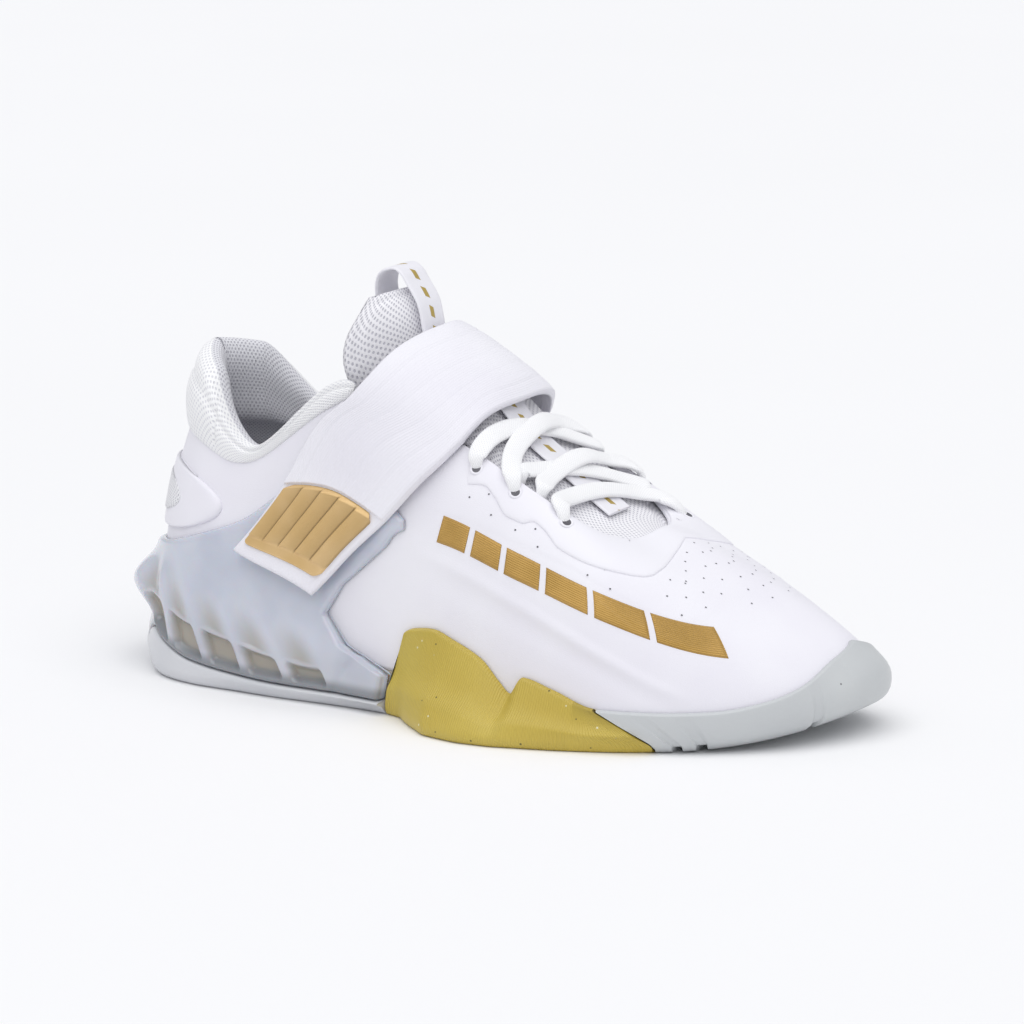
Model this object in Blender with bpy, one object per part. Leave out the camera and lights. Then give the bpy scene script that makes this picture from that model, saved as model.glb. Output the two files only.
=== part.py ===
"""Weightlifting shoe for the right foot, white with a gold strap tab.

The frame is +X to the toe, +Y to the inner (medial) side and +Z up, in metres.

A ring of eighteen sections runs round the shoe. Section 0 is the toe, 1 to 8 follow the
outer (lateral) side to the heel at 9, and 10 to 17 come back along the inner (medial) side.
Each section is a rib: an arc that rises from the foot line, where the upper meets the sole,
to the edge of the throat or of the collar. A station is the ring's number on one side,
counted from the toe, so that station t is ring t laterally and ring 18 - t medially.

The last's surface is those ribs, and over the throat a bridge between facing edges.
Every piece is a layer at some lift over that one surface.
"""

import math

import bmesh
import bpy
import numpy as np

# Driving sizes
LENGTH = 0.295
BALL_WIDTH = 0.1025
HEEL_RISE = 0.0312
COLLAR_HEIGHT = 0.1168

# Clearance between pieces and the thickness of each layer
GAP = 0.0003
WALL = 0.0022
OUTSOLE = 0.0040
TOE_SPRING = 0.0100
SOLE_EDGE = 0.0020
INSOLE = 0.0040
EYESTAY = 0.0010
COUNTER = 0.0014
CAGE = 0.0024
CAGE_FLARE = 0.0012
FIN_DEPTH = 0.0026
TONGUE = 0.0050
TONGUE_CLEAR = 0.0012
WEBBING = 0.0012
WEBBING_WIDTH = 0.0165
STRAP = 0.0020
GRIP_BASE = 0.0010
GRIP_STEP = 0.0014
LACE_WIDTH = 0.0046
LACE_THICKNESS = 0.0030
LACE_OVERLAP = 0.0018
LACE_END = 0.06
LACE_INSIDE = 0.08
LACE_SIDE_STEP = 0.42
EYELET = 0.0036

RINGS = 18
HEEL = 9
# Spacing of the columns of nested pieces, in stations
PITCH = 0.25
# Share of the ribs' arc at the second row of the upper's wall
FIRST_ROW = 0.15
# The toe's round front ends at this station
TOE_ROUND = 2.0

# Lengths are shares of LENGTH (x), BALL_WIDTH (y), HEEL_RISE (foot height) and COLLAR_HEIGHT
# (edge height). Arc is the angle in degrees at which the rib ends, and fullness is 1 for a
# straight rib, 2 for an ellipse and more for a boxier one.
LAST = (
    # name, foot x, foot y, foot height, edge x, edge y, edge height, arc, fullness
    ("toe tip", 0.505, 0.159, 0.718, 0.228, 0.040, 0.597, 78, 1.25),
    ("lateral toe", 0.457, -0.134, 0.587, 0.219, -0.119, 0.588, 74, 1.35),
    ("lateral forefoot", 0.371, -0.352, 0.408, 0.193, -0.238, 0.623, 68, 1.6),
    ("lateral ball", 0.262, -0.486, 0.392, 0.145, -0.293, 0.697, 62, 1.9),
    ("lateral waist", 0.138, -0.501, 0.440, 0.076, -0.298, 0.788, 60, 2.1),
    ("lateral instep", 0.014, -0.452, 0.506, 0.000, -0.288, 0.871, 60, 2.2),
    ("lateral ankle", -0.124, -0.392, 0.555, -0.141, -0.318, 0.967, 45, 2.0),
    ("lateral heel", -0.276, -0.377, 0.750, -0.290, -0.293, 0.732, 40, 2.0),
    ("lateral heel corner", -0.407, -0.303, 0.848, -0.379, -0.218, 0.766, 38, 2.0),
    ("heel", -0.472, -0.010, 0.881, -0.438, 0.000, 0.792, 35, 2.0),
    ("medial heel corner", -0.407, 0.283, 0.848, -0.379, 0.208, 0.784, 38, 2.0),
    ("medial heel", -0.276, 0.347, 0.750, -0.283, 0.283, 0.766, 40, 2.0),
    ("medial ankle", -0.124, 0.343, 0.555, -0.138, 0.298, 0.967, 45, 2.0),
    ("medial instep", 0.021, 0.377, 0.506, 0.007, 0.288, 0.880, 60, 2.2),
    ("medial waist", 0.159, 0.442, 0.440, 0.079, 0.298, 0.788, 60, 2.1),
    ("medial ball", 0.290, 0.472, 0.392, 0.148, 0.298, 0.692, 62, 1.9),
    ("medial forefoot", 0.393, 0.447, 0.408, 0.197, 0.248, 0.618, 68, 1.6),
    ("medial toe", 0.471, 0.357, 0.587, 0.221, 0.159, 0.592, 74, 1.35),
)

# Spine of the sole and height of the foot bed, one row per station from toe to heel
SPINE = (
    # x, y, bed height
    (0.438, 0.139, 0.816),
    (0.407, 0.089, 0.685),
    (0.359, 0.040, 0.489),
    (0.276, -0.010, 0.457),
    (0.148, -0.030, 0.587),
    (0.021, -0.040, 0.767),
    (-0.124, -0.025, 0.897),
    (-0.276, -0.010, 0.979),
    (-0.359, -0.010, 1.011),
    (-0.386, -0.010, 1.011),
)

# Rims of the three outsoles. Heights are shares of HEEL_RISE and spreads of BALL_WIDTH,
# measured out from the foot line, first on the lateral and then on the medial side.
FOREFOOT_RIM = (
    # station, lateral height, medial height, lateral spread, medial spread
    (0.0, 1.077, 1.077, -0.079, -0.079),
    (0.5, 0.946, 0.946, -0.065, -0.065),
    (1.0, 0.734, 0.750, -0.045, -0.050),
    (1.5, 0.587, 0.587, -0.035, -0.035),
    (2.0, 0.509, 0.509, -0.030, -0.030),
    (2.6, 0.489, 0.489, -0.015, -0.020),
    (3.2, 0.489, 0.489, 0.035, 0.000),
)
MIDFOOT_RIM = (
    (2.6, 0.489, 0.489, -0.015, -0.020),
    (3.2, 0.489, 0.489, 0.035, 0.000),
    (3.66, 0.653, 0.555, 0.089, 0.015),
    (4.0, 0.750, 0.685, 0.129, 0.030),
    (4.15, 0.538, 0.620, 0.149, 0.035),
    (4.28, 0.653, 0.685, 0.159, 0.040),
    (4.5, 0.881, 0.816, 0.174, 0.045),
    (4.84, 1.011, 0.946, 0.169, 0.040),
    (5.1, 1.126, 1.011, 0.119, 0.030),
    (5.4, 1.011, 0.946, 0.040, 0.015),
    (5.6, 1.011, 0.946, 0.020, 0.010),
)
HEEL_RIM = (
    (5.4, 0.183, 0.183, 0.010, 0.000),
    (6.0, 0.189, 0.189, 0.025, 0.015),
    (6.6, 0.202, 0.202, 0.035, 0.025),
    (7.1, 0.261, 0.261, 0.040, 0.030),
    (7.7, 0.408, 0.408, 0.050, 0.040),
    (8.1, 0.555, 0.555, 0.050, 0.040),
    (8.5, 0.375, 0.375, 0.025, 0.025),
    (9.0, 0.359, 0.359, 0.010, 0.010),
)
FOREFOOT_END = 2.6
MIDFOOT_END = 5.6
SLANT = 0.6
REAR_SLANT = -0.2
SLANT_REACH = 0.8
HEEL_WIDTH_OUT = 0.089
FOREFOOT_WIDTH_OUT = 0.032
LUG_STATIONS = (0.88, 2.12, 2.38)
LUG_HALF = 0.055
LUG_DEPTH = 0.0020
# Stations by which a groove's wall starts outside and ends inside its edge
LUG_WALL = (0.02, 0.01)

# Upper and front edges of the heel cage; heights are shares of HEEL_RISE
CAGE_TOP = (
    # station, lateral height, medial height
    (5.4, 2.284, 1.631),
    (5.8, 2.675, 1.827),
    (6.2, 2.741, 1.892),
    (6.55, 2.545, 1.958),
    (7.05, 2.088, 1.958),
    (7.6, 1.827, 1.794),
    (8.2, 1.631, 1.631),
    (9.0, 1.501, 1.501),
)
CAGE_FRONT = (
    # height, lateral station, medial station
    (0.131, 5.64, 5.64),
    (0.489, 5.58, 5.58),
    (0.750, 6.05, 5.95),
    (1.109, 6.24, 6.10),
    (1.468, 6.08, 6.05),
    (2.219, 5.44, 5.75),
    (2.741, 5.44, 5.70),
)
FIN_PITCH = 0.28
FIN_FIRST = 6.30
FIN_LEAN = 0.14
FINS_END = 8.60
FIN_TOP = 1.697
FIN_FULL = 0.718
LIP_HEIGHT = 1.175
LIP_HALF = 0.294
CAGE_LIP = 0.0075
# Least stations from the cage's front edge to its first fin, and between two of its columns
CAGE_PLAIN = 0.05
FIN_LEAST = 0.03

# Padded collar on the upper's edge, by ring number
COLLAR = (
    # ring, rise (of COLLAR_HEIGHT), lean in at the top, bulge out, depth (of BALL_WIDTH)
    (6.00, 0.061, 0.030, 0.002, 0.035),
    (6.3, 0.087, 0.020, 0.010, 0.050),
    (6.75, 0.083, 0.010, 0.014, 0.069),
    (7.0, 0.078, 0.010, 0.016, 0.084),
    (7.35, 0.122, 0.010, 0.020, 0.089),
    (8.0, 0.235, 0.025, 0.028, 0.094),
    (9.0, 0.270, 0.060, 0.026, 0.094),
    (10.0, 0.253, 0.030, 0.028, 0.094),
    (10.6, 0.174, 0.010, 0.022, 0.089),
    (11.0, 0.113, 0.010, 0.016, 0.084),
    (11.3, 0.087, 0.010, 0.014, 0.069),
    (11.75, 0.087, 0.020, 0.010, 0.050),
    (12.00, 0.061, 0.030, 0.002, 0.035),
)

# Scalloped lower edge of the eyestay: share of the rib's arc, by ring number from the
# lateral instep round the throat's front to the medial instep
EYESTAY_EDGE = (
    (-4.75, 0.82),
    (-4.50, 0.82),
    (-4.25, 0.70),
    (-3.75, 0.67),
    (-3.50, 0.80),
    (-3.25, 0.80),
    (-3.00, 0.68),
    (-2.50, 0.66),
    (-2.25, 0.79),
    (-1.75, 0.81),
    (-1.00, 0.83),
    (0.00, 0.87),
    (1.00, 0.83),
    (1.75, 0.81),
    (2.25, 0.79),
    (2.50, 0.66),
    (3.00, 0.68),
    (3.25, 0.80),
    (3.50, 0.80),
    (3.75, 0.67),
    (4.25, 0.70),
    (4.50, 0.82),
    (4.75, 0.82),
)
LATERAL_EYELETS = (3.02, 3.90, 4.62)
MEDIAL_EYELETS = (2.15, 3.25, 4.20)
EYELET_ARC = 0.90

# How far the instep domes over the throat, by station
DOMING = ((0.0, 0.5), (2.0, 0.5), (3.0, 0.55), (4.0, 0.75), (4.8, 1.25), (5.5, 1.4))

# Tongue above the throat: centre and edge of each section
TONGUE_TOP = (
    # centre x, centre height, edge x, half width, edge height
    (-0.083, 1.089, -0.138, 0.208, 0.941),
    (-0.090, 1.167, -0.166, 0.233, 1.036),
    (-0.097, 1.245, -0.166, 0.223, 1.150),
    (-0.112, 1.306, -0.145, 0.159, 1.271),
)
TONGUE_STATIONS = (1.5, 2.0, 2.5, 3.0, 3.5, 4.0, 4.5, 5.0, 5.45)
LOOP_TOP = (
    # x, height of the loop's middle line over and behind the tongue's top
    (-0.117, 1.345),
    (-0.129, 1.359),
    (-0.147, 1.341),
    (-0.153, 1.298),
    (-0.150, 1.237),
)

# Strap across the instep, from its lateral end to its medial end. A place of 0 is the
# lateral edge of the throat and 1 the medial edge; less than 0 and more than 1 run down
# the ribs by that share of their arc.
STRAP_PATH = (
    # rear station, rear place, front station, front place, lift of rear edge, of front edge
    (7.08, -0.54, 6.30, -0.76, 0.0064, 0.0072),
    (6.82, -0.38, 5.95, -0.62, 0.0046, 0.0056),
    (6.55, -0.24, 5.56, -0.47, 0.0038, 0.0036),
    (6.28, -0.08, 5.22, -0.27, 0.0034, 0.0030),
    (5.94, 0.02, 4.93, -0.06, 0.0034, 0.0020),
    (5.74, 0.18, 4.68, 0.16, 0.0038, 0.0030),
    (5.58, 0.50, 4.50, 0.50, 0.0044, 0.0038),
    (5.74, 0.82, 4.68, 0.84, 0.0044, 0.0036),
    (5.94, 0.98, 4.93, 1.06, 0.0034, 0.0018),
    (6.12, 1.20, 5.10, 1.28, 0.0024, 0.0012),
    (6.18, 1.42, 5.20, 1.50, 0.0012, 0.0012),
)
GRIP_SPAN = (0.035, 0.190)
GRIP_SIDES = (0.05, 0.93)
GRIP_BARS = 5

# Oval overlay on the back of the heel
COUNTER_MIDDLE = 0.644
COUNTER_HALF_HEIGHT = 0.126
COUNTER_HALF_RINGS = 1.0

TINTS = {
    # name: colour, roughness, metallic
    "upper": ((0.86, 0.86, 0.88), 0.55, 0.0),
    "mesh": ((0.74, 0.74, 0.78), 0.85, 0.0),
    "strap": ((0.84, 0.84, 0.86), 0.60, 0.0),
    "gold": ((0.52, 0.33, 0.08), 0.35, 0.6),
    "cage": ((0.55, 0.62, 0.70), 0.20, 0.0),
    "foam": ((0.62, 0.56, 0.46), 0.70, 0.0),
    "grey rubber": ((0.58, 0.60, 0.61), 0.50, 0.0),
    "yellow rubber": ((0.56, 0.43, 0.08), 0.50, 0.0),
    "lace": ((0.86, 0.86, 0.88), 0.80, 0.0),
}


def foot_table():
    """Foot line of each rib in metres."""
    sizes = (LENGTH, BALL_WIDTH, HEEL_RISE)
    return np.array([[row[1 + axis] * sizes[axis] for axis in range(3)] for row in LAST])


def edge_table():
    """Upper end of each rib in metres."""
    sizes = (LENGTH, BALL_WIDTH, COLLAR_HEIGHT)
    return np.array([[row[4 + axis] * sizes[axis] for axis in range(3)] for row in LAST])


FOOT = foot_table()
EDGE = edge_table()
SHAPE = np.array([[math.radians(row[7]), row[8]] for row in LAST])
SPINE_POINTS = np.array([[row[0] * LENGTH, row[1] * BALL_WIDTH, row[2] * HEEL_RISE] for row in SPINE])


def ring(table, place):
    """Smooth closed curve through the ring's rows: a Catmull-Rom spline at ring number place."""
    place = np.asarray(place, float) % RINGS
    index = np.floor(place).astype(int)
    t = (place - index)[..., None]
    before, here, after, beyond = (table[(index + step) % RINGS] for step in (-1, 0, 1, 2))
    slope = after - before
    bend = 2 * before - 5 * here + 4 * after - beyond
    twist = 3 * (here - after) + beyond - before
    return here + 0.5 * t * (slope + t * (bend + t * twist))


def column(rows, place, number):
    """Value of one column of a table at place, which is the table's first column."""
    data = np.array(rows, float)
    return np.interp(place, data[:, 0], data[:, number])


def rib(place, share):
    """Point of the upper's outer face at a ring number and a share of the rib's arc."""
    foot, edge, shape = ring(FOOT, place), ring(EDGE, place), ring(SHAPE, place)
    arc, power = shape[..., 0], 2.0 / shape[..., 1]
    angle = np.clip(arc * share, 0.0, math.radians(89.0))
    across = (1 - np.cos(angle) ** power) / (1 - np.cos(arc) ** power)
    rise = np.sin(angle) ** power / np.sin(arc) ** power
    return foot + (edge - foot) * np.stack([across, across, rise], axis=-1)


def unit(vectors):
    return vectors / np.linalg.norm(vectors, axis=-1, keepdims=True)


def rib_normal(place, share):
    """Outward normal of the ribs' surface."""
    step = 0.004
    share = np.maximum(share, 0.0)
    along = rib(place + step, share) - rib(place - step, share)
    up = rib(place, share + step) - rib(place, np.maximum(share - step, 0.0))
    return unit(np.cross(up, along))


def skin(place, share, lift):
    """Point at a lift over the upper's outer face."""
    place, share, lift = np.broadcast_arrays(place, share, lift)
    return rib(place, share) + rib_normal(place, share) * lift[..., None]


def share_at_height(place, height):
    """Share of the rib's arc at which the rib reaches a height."""
    foot, edge, shape = ring(FOOT, place), ring(EDGE, place), ring(SHAPE, place)
    arc, power = shape[..., 0], 2.0 / shape[..., 1]
    rise = np.clip((height - foot[..., 2]) / (edge[..., 2] - foot[..., 2]), 0.0, 1.0)
    return np.arcsin(rise ** (1 / power) * np.sin(arc)) / arc


def side(place, height, lift):
    """Point on the shoe's side: over the upper, and below the foot line over its upright."""
    place, height, lift = np.broadcast_arrays(place, height, lift)
    points = skin(place, share_at_height(place, height), lift)
    foot = ring(FOOT, place)[..., 2]
    points[..., 2] = np.where(height < foot, height, points[..., 2])
    return points


def level_side(place, height, lift):
    """Point on the shoe's side moved level, so that a lift changes its plan but not its height."""
    share = share_at_height(place, height)
    outward = rib_normal(place, share)
    outward[..., 2] = 0.0
    slope = np.linalg.norm(outward, axis=-1)
    points = rib(place, share) + unit(outward) * (lift / np.maximum(slope, 0.4))[..., None]
    points[..., 2] = height
    return points


def ring_of(station, hand):
    """Ring number of a station; hand is -1 for lateral and 1 for medial."""
    return station if hand < 0 else RINGS - station


def bridge(station, place):
    """Instep over the throat: a curve from the lateral edge to the medial edge."""
    left, right = rib(station, 1.0), rib(RINGS - station, 1.0)
    doming = np.interp(station, *zip(*DOMING))[..., None]
    chord = np.linalg.norm(right - left, axis=-1, keepdims=True) * doming
    leave = unit(left - rib(station, 0.97)) * chord
    arrive = unit(rib(RINGS - station, 0.97) - right) * chord
    t = np.asarray(place, float)[..., None]
    return ((2 * t ** 3 - 3 * t ** 2 + 1) * left + (t ** 3 - 2 * t ** 2 + t) * leave
            + (3 * t ** 2 - 2 * t ** 3) * right + (t ** 3 - t ** 2) * arrive)


def section(station, place):
    """Point of the closed last: down the ribs below 0 and above 1, over the throat between."""
    station, place = np.broadcast_arrays(np.asarray(station, float), np.asarray(place, float))
    lateral = rib(station, 1.0 + np.minimum(place, 0.0))
    medial = rib(RINGS - station, 2.0 - np.maximum(place, 1.0))
    middle = bridge(station, np.clip(place, 0.0, 1.0))
    low, high = (place < 0.0)[..., None], (place > 1.0)[..., None]
    return np.where(low, lateral, np.where(high, medial, middle))


def over(station, place, lift):
    """Point at a lift over the closed last."""
    station, place, lift = np.broadcast_arrays(
        np.asarray(station, float), np.asarray(place, float), np.asarray(lift, float))
    step = 0.01
    across = section(station, place + step) - section(station, place - step)
    back = section(station + step, place) - section(station - step, place)
    return section(station, place) + unit(np.cross(across, back)) * lift[..., None]


def spring(x):
    """Height of the tread under the shoe: flat, then rising at the toe."""
    start = 0.30 * LENGTH
    return TOE_SPRING * (np.maximum(x - start, 0.0) / (0.5 * LENGTH - start)) ** 2


def grid_normals(points):
    """Normals of a grid of points from the differences along its rows and columns."""
    return unit(np.cross(np.gradient(points, axis=1), np.gradient(points, axis=0)))


def grid_faces(rows, columns, start, wrap):
    """Quads of a grid whose points are numbered row by row."""
    last = columns if wrap else columns - 1
    return [(start + r * columns + c, start + r * columns + (c + 1) % columns,
             start + (r + 1) * columns + (c + 1) % columns, start + (r + 1) * columns + c)
            for r in range(rows - 1) for c in range(last)]


def material(tint):
    """Material of one tint, made once."""
    found = bpy.data.materials.get(tint)
    if found:
        return found
    colour, roughness, metallic = TINTS[tint]
    made = bpy.data.materials.new(tint)
    made.use_nodes = True
    shader = made.node_tree.nodes["Principled BSDF"]
    shader.inputs["Base Color"].default_value = (*colour, 1.0)
    shader.inputs["Roughness"].default_value = roughness
    shader.inputs["Metallic"].default_value = metallic
    return made


def add_object(name, points, faces, tint, weld=True):
    """Object from points and faces, welded and turned outward."""
    data = bpy.data.meshes.new(name)
    data.from_pydata([tuple(map(float, p)) for p in points], [], faces)
    work = bmesh.new()
    work.from_mesh(data)
    if weld:
        bmesh.ops.remove_doubles(work, verts=work.verts, dist=0.00002)
    bmesh.ops.recalc_face_normals(work, faces=work.faces)
    if work.calc_volume(signed=True) < 0.0:
        bmesh.ops.reverse_faces(work, faces=work.faces)
    work.to_mesh(data)
    work.free()
    data.materials.append(material(tint))
    data.shade_smooth()
    data.set_sharp_from_angle(angle=math.radians(40))
    made = bpy.data.objects.new(name, data)
    bpy.context.scene.collection.objects.link(made)
    return made


def add_slab(name, outer, inner, tint, wrap=False):
    """Closed slab between two grids of the same size; wrap closes the columns into a ring."""
    rows, columns = outer.shape[:2]
    count = rows * columns
    faces = grid_faces(rows, columns, 0, wrap)
    faces += [tuple(reversed(f)) for f in grid_faces(rows, columns, count, wrap)]
    last = columns if wrap else columns - 1
    for r in (0, rows - 1):
        for c in range(last):
            a, b = r * columns + c, r * columns + (c + 1) % columns
            faces.append((a, b, b + count, a + count))
    if not wrap:
        for c in (0, columns - 1):
            for r in range(rows - 1):
                a, b = r * columns + c, (r + 1) * columns + c
                faces.append((a, b, b + count, a + count))
    points = np.concatenate([outer.reshape(-1, 3), inner.reshape(-1, 3)])
    return add_object(name, points, faces, tint)


def add_sweep(name, sections, tint):
    """Closed solid from a row of closed sections, with flat ends."""
    count, around = sections.shape[:2]
    faces = grid_faces(count, around, 0, True)
    faces.append(tuple(range(around)))
    faces.append(tuple(range((count - 1) * around, count * around)))
    return add_object(name, sections.reshape(-1, 3), faces, tint)


def add_halves(name, lateral, medial, tint, cap_front, cap_rear):
    """Solid from two half sheets that meet at the spine.

    Each half is a grid of columns by profile points. The profile starts and ends on the
    spine. An open end is closed by a ladder between the profile's lower and upper half.
    """
    columns, around = lateral.shape[:2]
    faces = []
    for half in range(2):
        faces += grid_faces(columns, around, half * columns * around, False)
        for end, wanted in ((0, cap_front), (columns - 1, cap_rear)):
            if wanted:
                start = half * columns * around + end * around
                faces += [(start + k, start + k + 1, start + around - 2 - k, start + around - 1 - k)
                          for k in range(around // 2 - 1)]
    points = np.concatenate([lateral.reshape(-1, 3), medial.reshape(-1, 3)])
    return add_object(name, points, faces, tint)


def spine_at(station):
    """Point of the sole's spine at the foot bed, smooth between its rows."""
    rows = np.arange(len(SPINE_POINTS))
    return np.stack([np.interp(station, rows, SPINE_POINTS[:, axis]) for axis in range(3)], axis=-1)


def tread_point(station, hand, share, raise_by, spread):
    """Point between the spine (0) and the outline (1) at a height over the tread."""
    inner = spine_at(station)
    outer = side(ring_of(station, hand), -1.0, spread)
    point = inner + (outer - inner) * share
    point[..., 2] = spring(point[..., 0]) + raise_by
    return point


def lug_notch(stations):
    """1 inside a groove between two side lugs, else 0."""
    inside = [np.abs(stations - middle) < LUG_HALF for middle in LUG_STATIONS]
    return np.any(inside, axis=0).astype(float)


def outsole_half(hand, rim, flat, slants, width_out, lugs):
    """Half of an outsole as columns by twelve profile points, spine to spine.

    Both ends may slant: towards the rim, the stations near an end shift by its slant.
    """
    number = 1 if hand < 0 else 2
    near_front = np.clip(1 - (flat - flat[0]) / SLANT_REACH, 0.0, 1.0)
    near_rear = np.clip(1 - (flat[-1] - flat) / SLANT_REACH, 0.0, 1.0)

    def station(level):
        return flat + level * (slants[0] * near_front + slants[1] * near_rear)

    def rim_height(at):
        return column(rim, at, number) * HEEL_RISE

    def spread(at):
        return column(rim, at, number + 2) * BALL_WIDTH

    notch = lug_notch(flat) if lugs else np.zeros_like(flat)
    profile = [tread_point(flat, hand, 0.0, 0.0, 0.0),
               tread_point(flat, hand, 0.55, 0.0, spread(flat)),
               tread_point(flat, hand, 1.0, notch * LUG_DEPTH, spread(flat))]
    least = GAP + SOLE_EDGE
    for level in (0.0, 0.5):
        at = station(level)
        low = spring(ring(FOOT, ring_of(at, hand))[..., 0]) + 0.8 * OUTSOLE
        height = low + (rim_height(at) - low) * level
        flare = np.maximum(spread(at), 0.0) * (1 - level) ** 1.3 + least
        flare = np.maximum(flare, least + (width_out * BALL_WIDTH - least) * 2 * level)
        profile.append(side(ring_of(at, hand), height, flare - notch * 0.4 * SOLE_EDGE * (1 - level)))
    top = station(1.0)
    profile.append(side(ring_of(top, hand), rim_height(top) - 0.3 * SOLE_EDGE, least))
    for level in (1.0, 0.6, 0.25, 0.0):
        at = station(level)
        around = ring_of(at, hand)
        foot, knee, high = ring(FOOT, around), rib(around, FIRST_ROW)[..., 2], rim_height(at)
        floor = spring(foot[..., 0]) + OUTSOLE
        low = np.where(foot[..., 2] < high - 0.5 * SOLE_EDGE, foot[..., 2], floor + 0.35 * (high - floor))
        middle = np.where(high > knee + SOLE_EDGE, knee, 0.5 * (low + high))
        height = {1.0: high, 0.6: middle, 0.25: low, 0.0: floor}[level]
        around = ring_of(station((height - floor) / (high - floor)), hand)
        profile.append(side(around, height, GAP))
    profile.append(tread_point(flat, hand, 0.55, OUTSOLE, 0.0))
    profile.append(tread_point(flat, hand, 0.0, OUTSOLE, 0.0))
    return np.stack(profile, axis=1)


def add_outsole(name, rim, front, rear, slants, width_out, tint, lugs=False):
    """One outsole: its tread plate and the rim that laps the side."""
    stations = [front, rear] + list(np.arange(0.0, HEEL + PITCH, PITCH))
    if lugs:
        stations += [middle + offset for middle in LUG_STATIONS
                     for offset in (-LUG_HALF - LUG_WALL[0], -LUG_HALF + LUG_WALL[1],
                                    LUG_HALF - LUG_WALL[1], LUG_HALF + LUG_WALL[0])]
    stations = np.array(sorted(set(at for at in stations if front <= at <= rear)))
    halves = [outsole_half(hand, rim, stations, slants, width_out, lugs) for hand in (-1, 1)]
    return add_halves(name, halves[0], halves[1], tint, front > 0.0, rear < HEEL)


def add_outsoles():
    """Grey forefoot with side lugs, yellow outrigger at the waist, and grey heel."""
    cut = GAP / (0.12 * LENGTH)
    add_outsole("outsole_forefoot", FOREFOOT_RIM, 0.0, FOREFOOT_END, (0.0, SLANT),
                FOREFOOT_WIDTH_OUT, "grey rubber", lugs=True)
    add_outsole("outsole_midfoot", MIDFOOT_RIM, FOREFOOT_END + 4 * cut, MIDFOOT_END,
                (SLANT, REAR_SLANT), FOREFOOT_WIDTH_OUT, "yellow rubber")
    add_outsole("outsole_heel", HEEL_RIM, MIDFOOT_END + 2 * cut, HEEL, (0.0, 0.0),
                HEEL_WIDTH_OUT, "grey rubber")


def midsole_half(hand, stations):
    """Half of the foam core: upright side to the foot line, then a step in to the bed."""
    at = ring_of(stations, hand)
    foot = ring(FOOT, at)[..., 2]
    bed = spine_at(stations)[..., 2]
    base = spring(ring(FOOT, at)[..., 0]) + OUTSOLE + GAP
    inset = -(WALL + 3 * GAP)
    step = np.minimum(np.minimum(foot, skin(at, 0.0, -WALL)[..., 2]) - GAP, bed)
    points = [tread_point(stations, hand, 0.0, OUTSOLE + GAP, 0.0),
              tread_point(stations, hand, 0.55, OUTSOLE + GAP, 0.0),
              side(at, base, 0.0),
              side(at, foot - GAP, 0.0),
              level_side(at, step, inset),
              level_side(at, bed, inset)]
    return np.stack(points + [spine_at(stations)], axis=1)


def core_stations():
    """Columns of the foam core and the insole: close together round the toe."""
    return np.concatenate([np.arange(0.0, TOE_ROUND, PITCH), np.arange(TOE_ROUND, HEEL + PITCH, 2 * PITCH)])


def add_midsole():
    stations = core_stations()
    add_halves("midsole", midsole_half(-1, stations), midsole_half(1, stations), "foam", False, False)


def insole_half(hand, stations):
    """Half of the insole: a sheet that lies on the bed inside the upper."""
    at = ring_of(stations, hand)
    spine = spine_at(stations)
    low, high = spine[..., 2] + 4 * GAP, spine[..., 2] + 4 * GAP + INSOLE
    inset = -(WALL + 6 * GAP)
    up = np.array([0.0, 0.0, 1.0])
    return np.stack([spine + up * 4 * GAP, level_side(at, low, inset), level_side(at, high, inset),
                     spine + up * (4 * GAP + INSOLE)], axis=1)


def add_insole():
    stations = core_stations()
    add_halves("insole", insole_half(-1, stations), insole_half(1, stations), "mesh", False, False)


def add_upper():
    """Hollow wall, open at the collar and throat and underneath."""
    places = np.arange(0, RINGS, PITCH)[None, :]
    shares = np.array([0.0, FIRST_ROW, 0.32, 0.5, 0.68, 0.85, 1.0])[:, None]
    outer = skin(places, shares, 0.0)
    inner = skin(places, shares, -WALL)
    return add_slab("upper", outer, inner, "upper", wrap=True)


def cage_lift(station, heights, fin):
    """Outer lift of the cage: a thin shell that flares low down into fins, with a lip behind."""
    low = np.clip((FIN_TOP * HEEL_RISE - heights) / ((FIN_TOP - FIN_FULL) * HEEL_RISE), 0.0, 1.0)
    low = low * low * (3 - 2 * low)
    behind = np.clip((station - FINS_END + 0.8) / 0.9, 0.0, 1.0)
    lip = behind * np.exp(-((heights / HEEL_RISE - LIP_HEIGHT) / LIP_HALF) ** 2)
    return GAP + CAGE + low * (CAGE_FLARE + FIN_DEPTH * fin) + CAGE_LIP * lip


def cage_edges(rings):
    """Lower and upper edge of the cage at a ring number."""
    station = np.minimum(rings, RINGS - rings)
    lateral = rings <= HEEL
    low = np.where(lateral, column(HEEL_RIM, station, 1), column(HEEL_RIM, station, 2))
    high = np.where(lateral, column(CAGE_TOP, station, 1), column(CAGE_TOP, station, 2))
    return low * HEEL_RISE + GAP, high * HEEL_RISE


def cage_front(hand, levels):
    """Ring numbers of the cage's concave front edge, one for each level of its height."""
    heights = np.array([row[0] for row in CAGE_FRONT]) * HEEL_RISE
    stations = np.array([row[1 + hand] for row in CAGE_FRONT])
    found = np.full(levels.shape, stations.mean())
    for _ in range(12):
        low, high = cage_edges(found if hand == 0 else RINGS - found)
        found = np.interp(low + (high - low) * levels, heights, stations)
    return found


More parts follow.
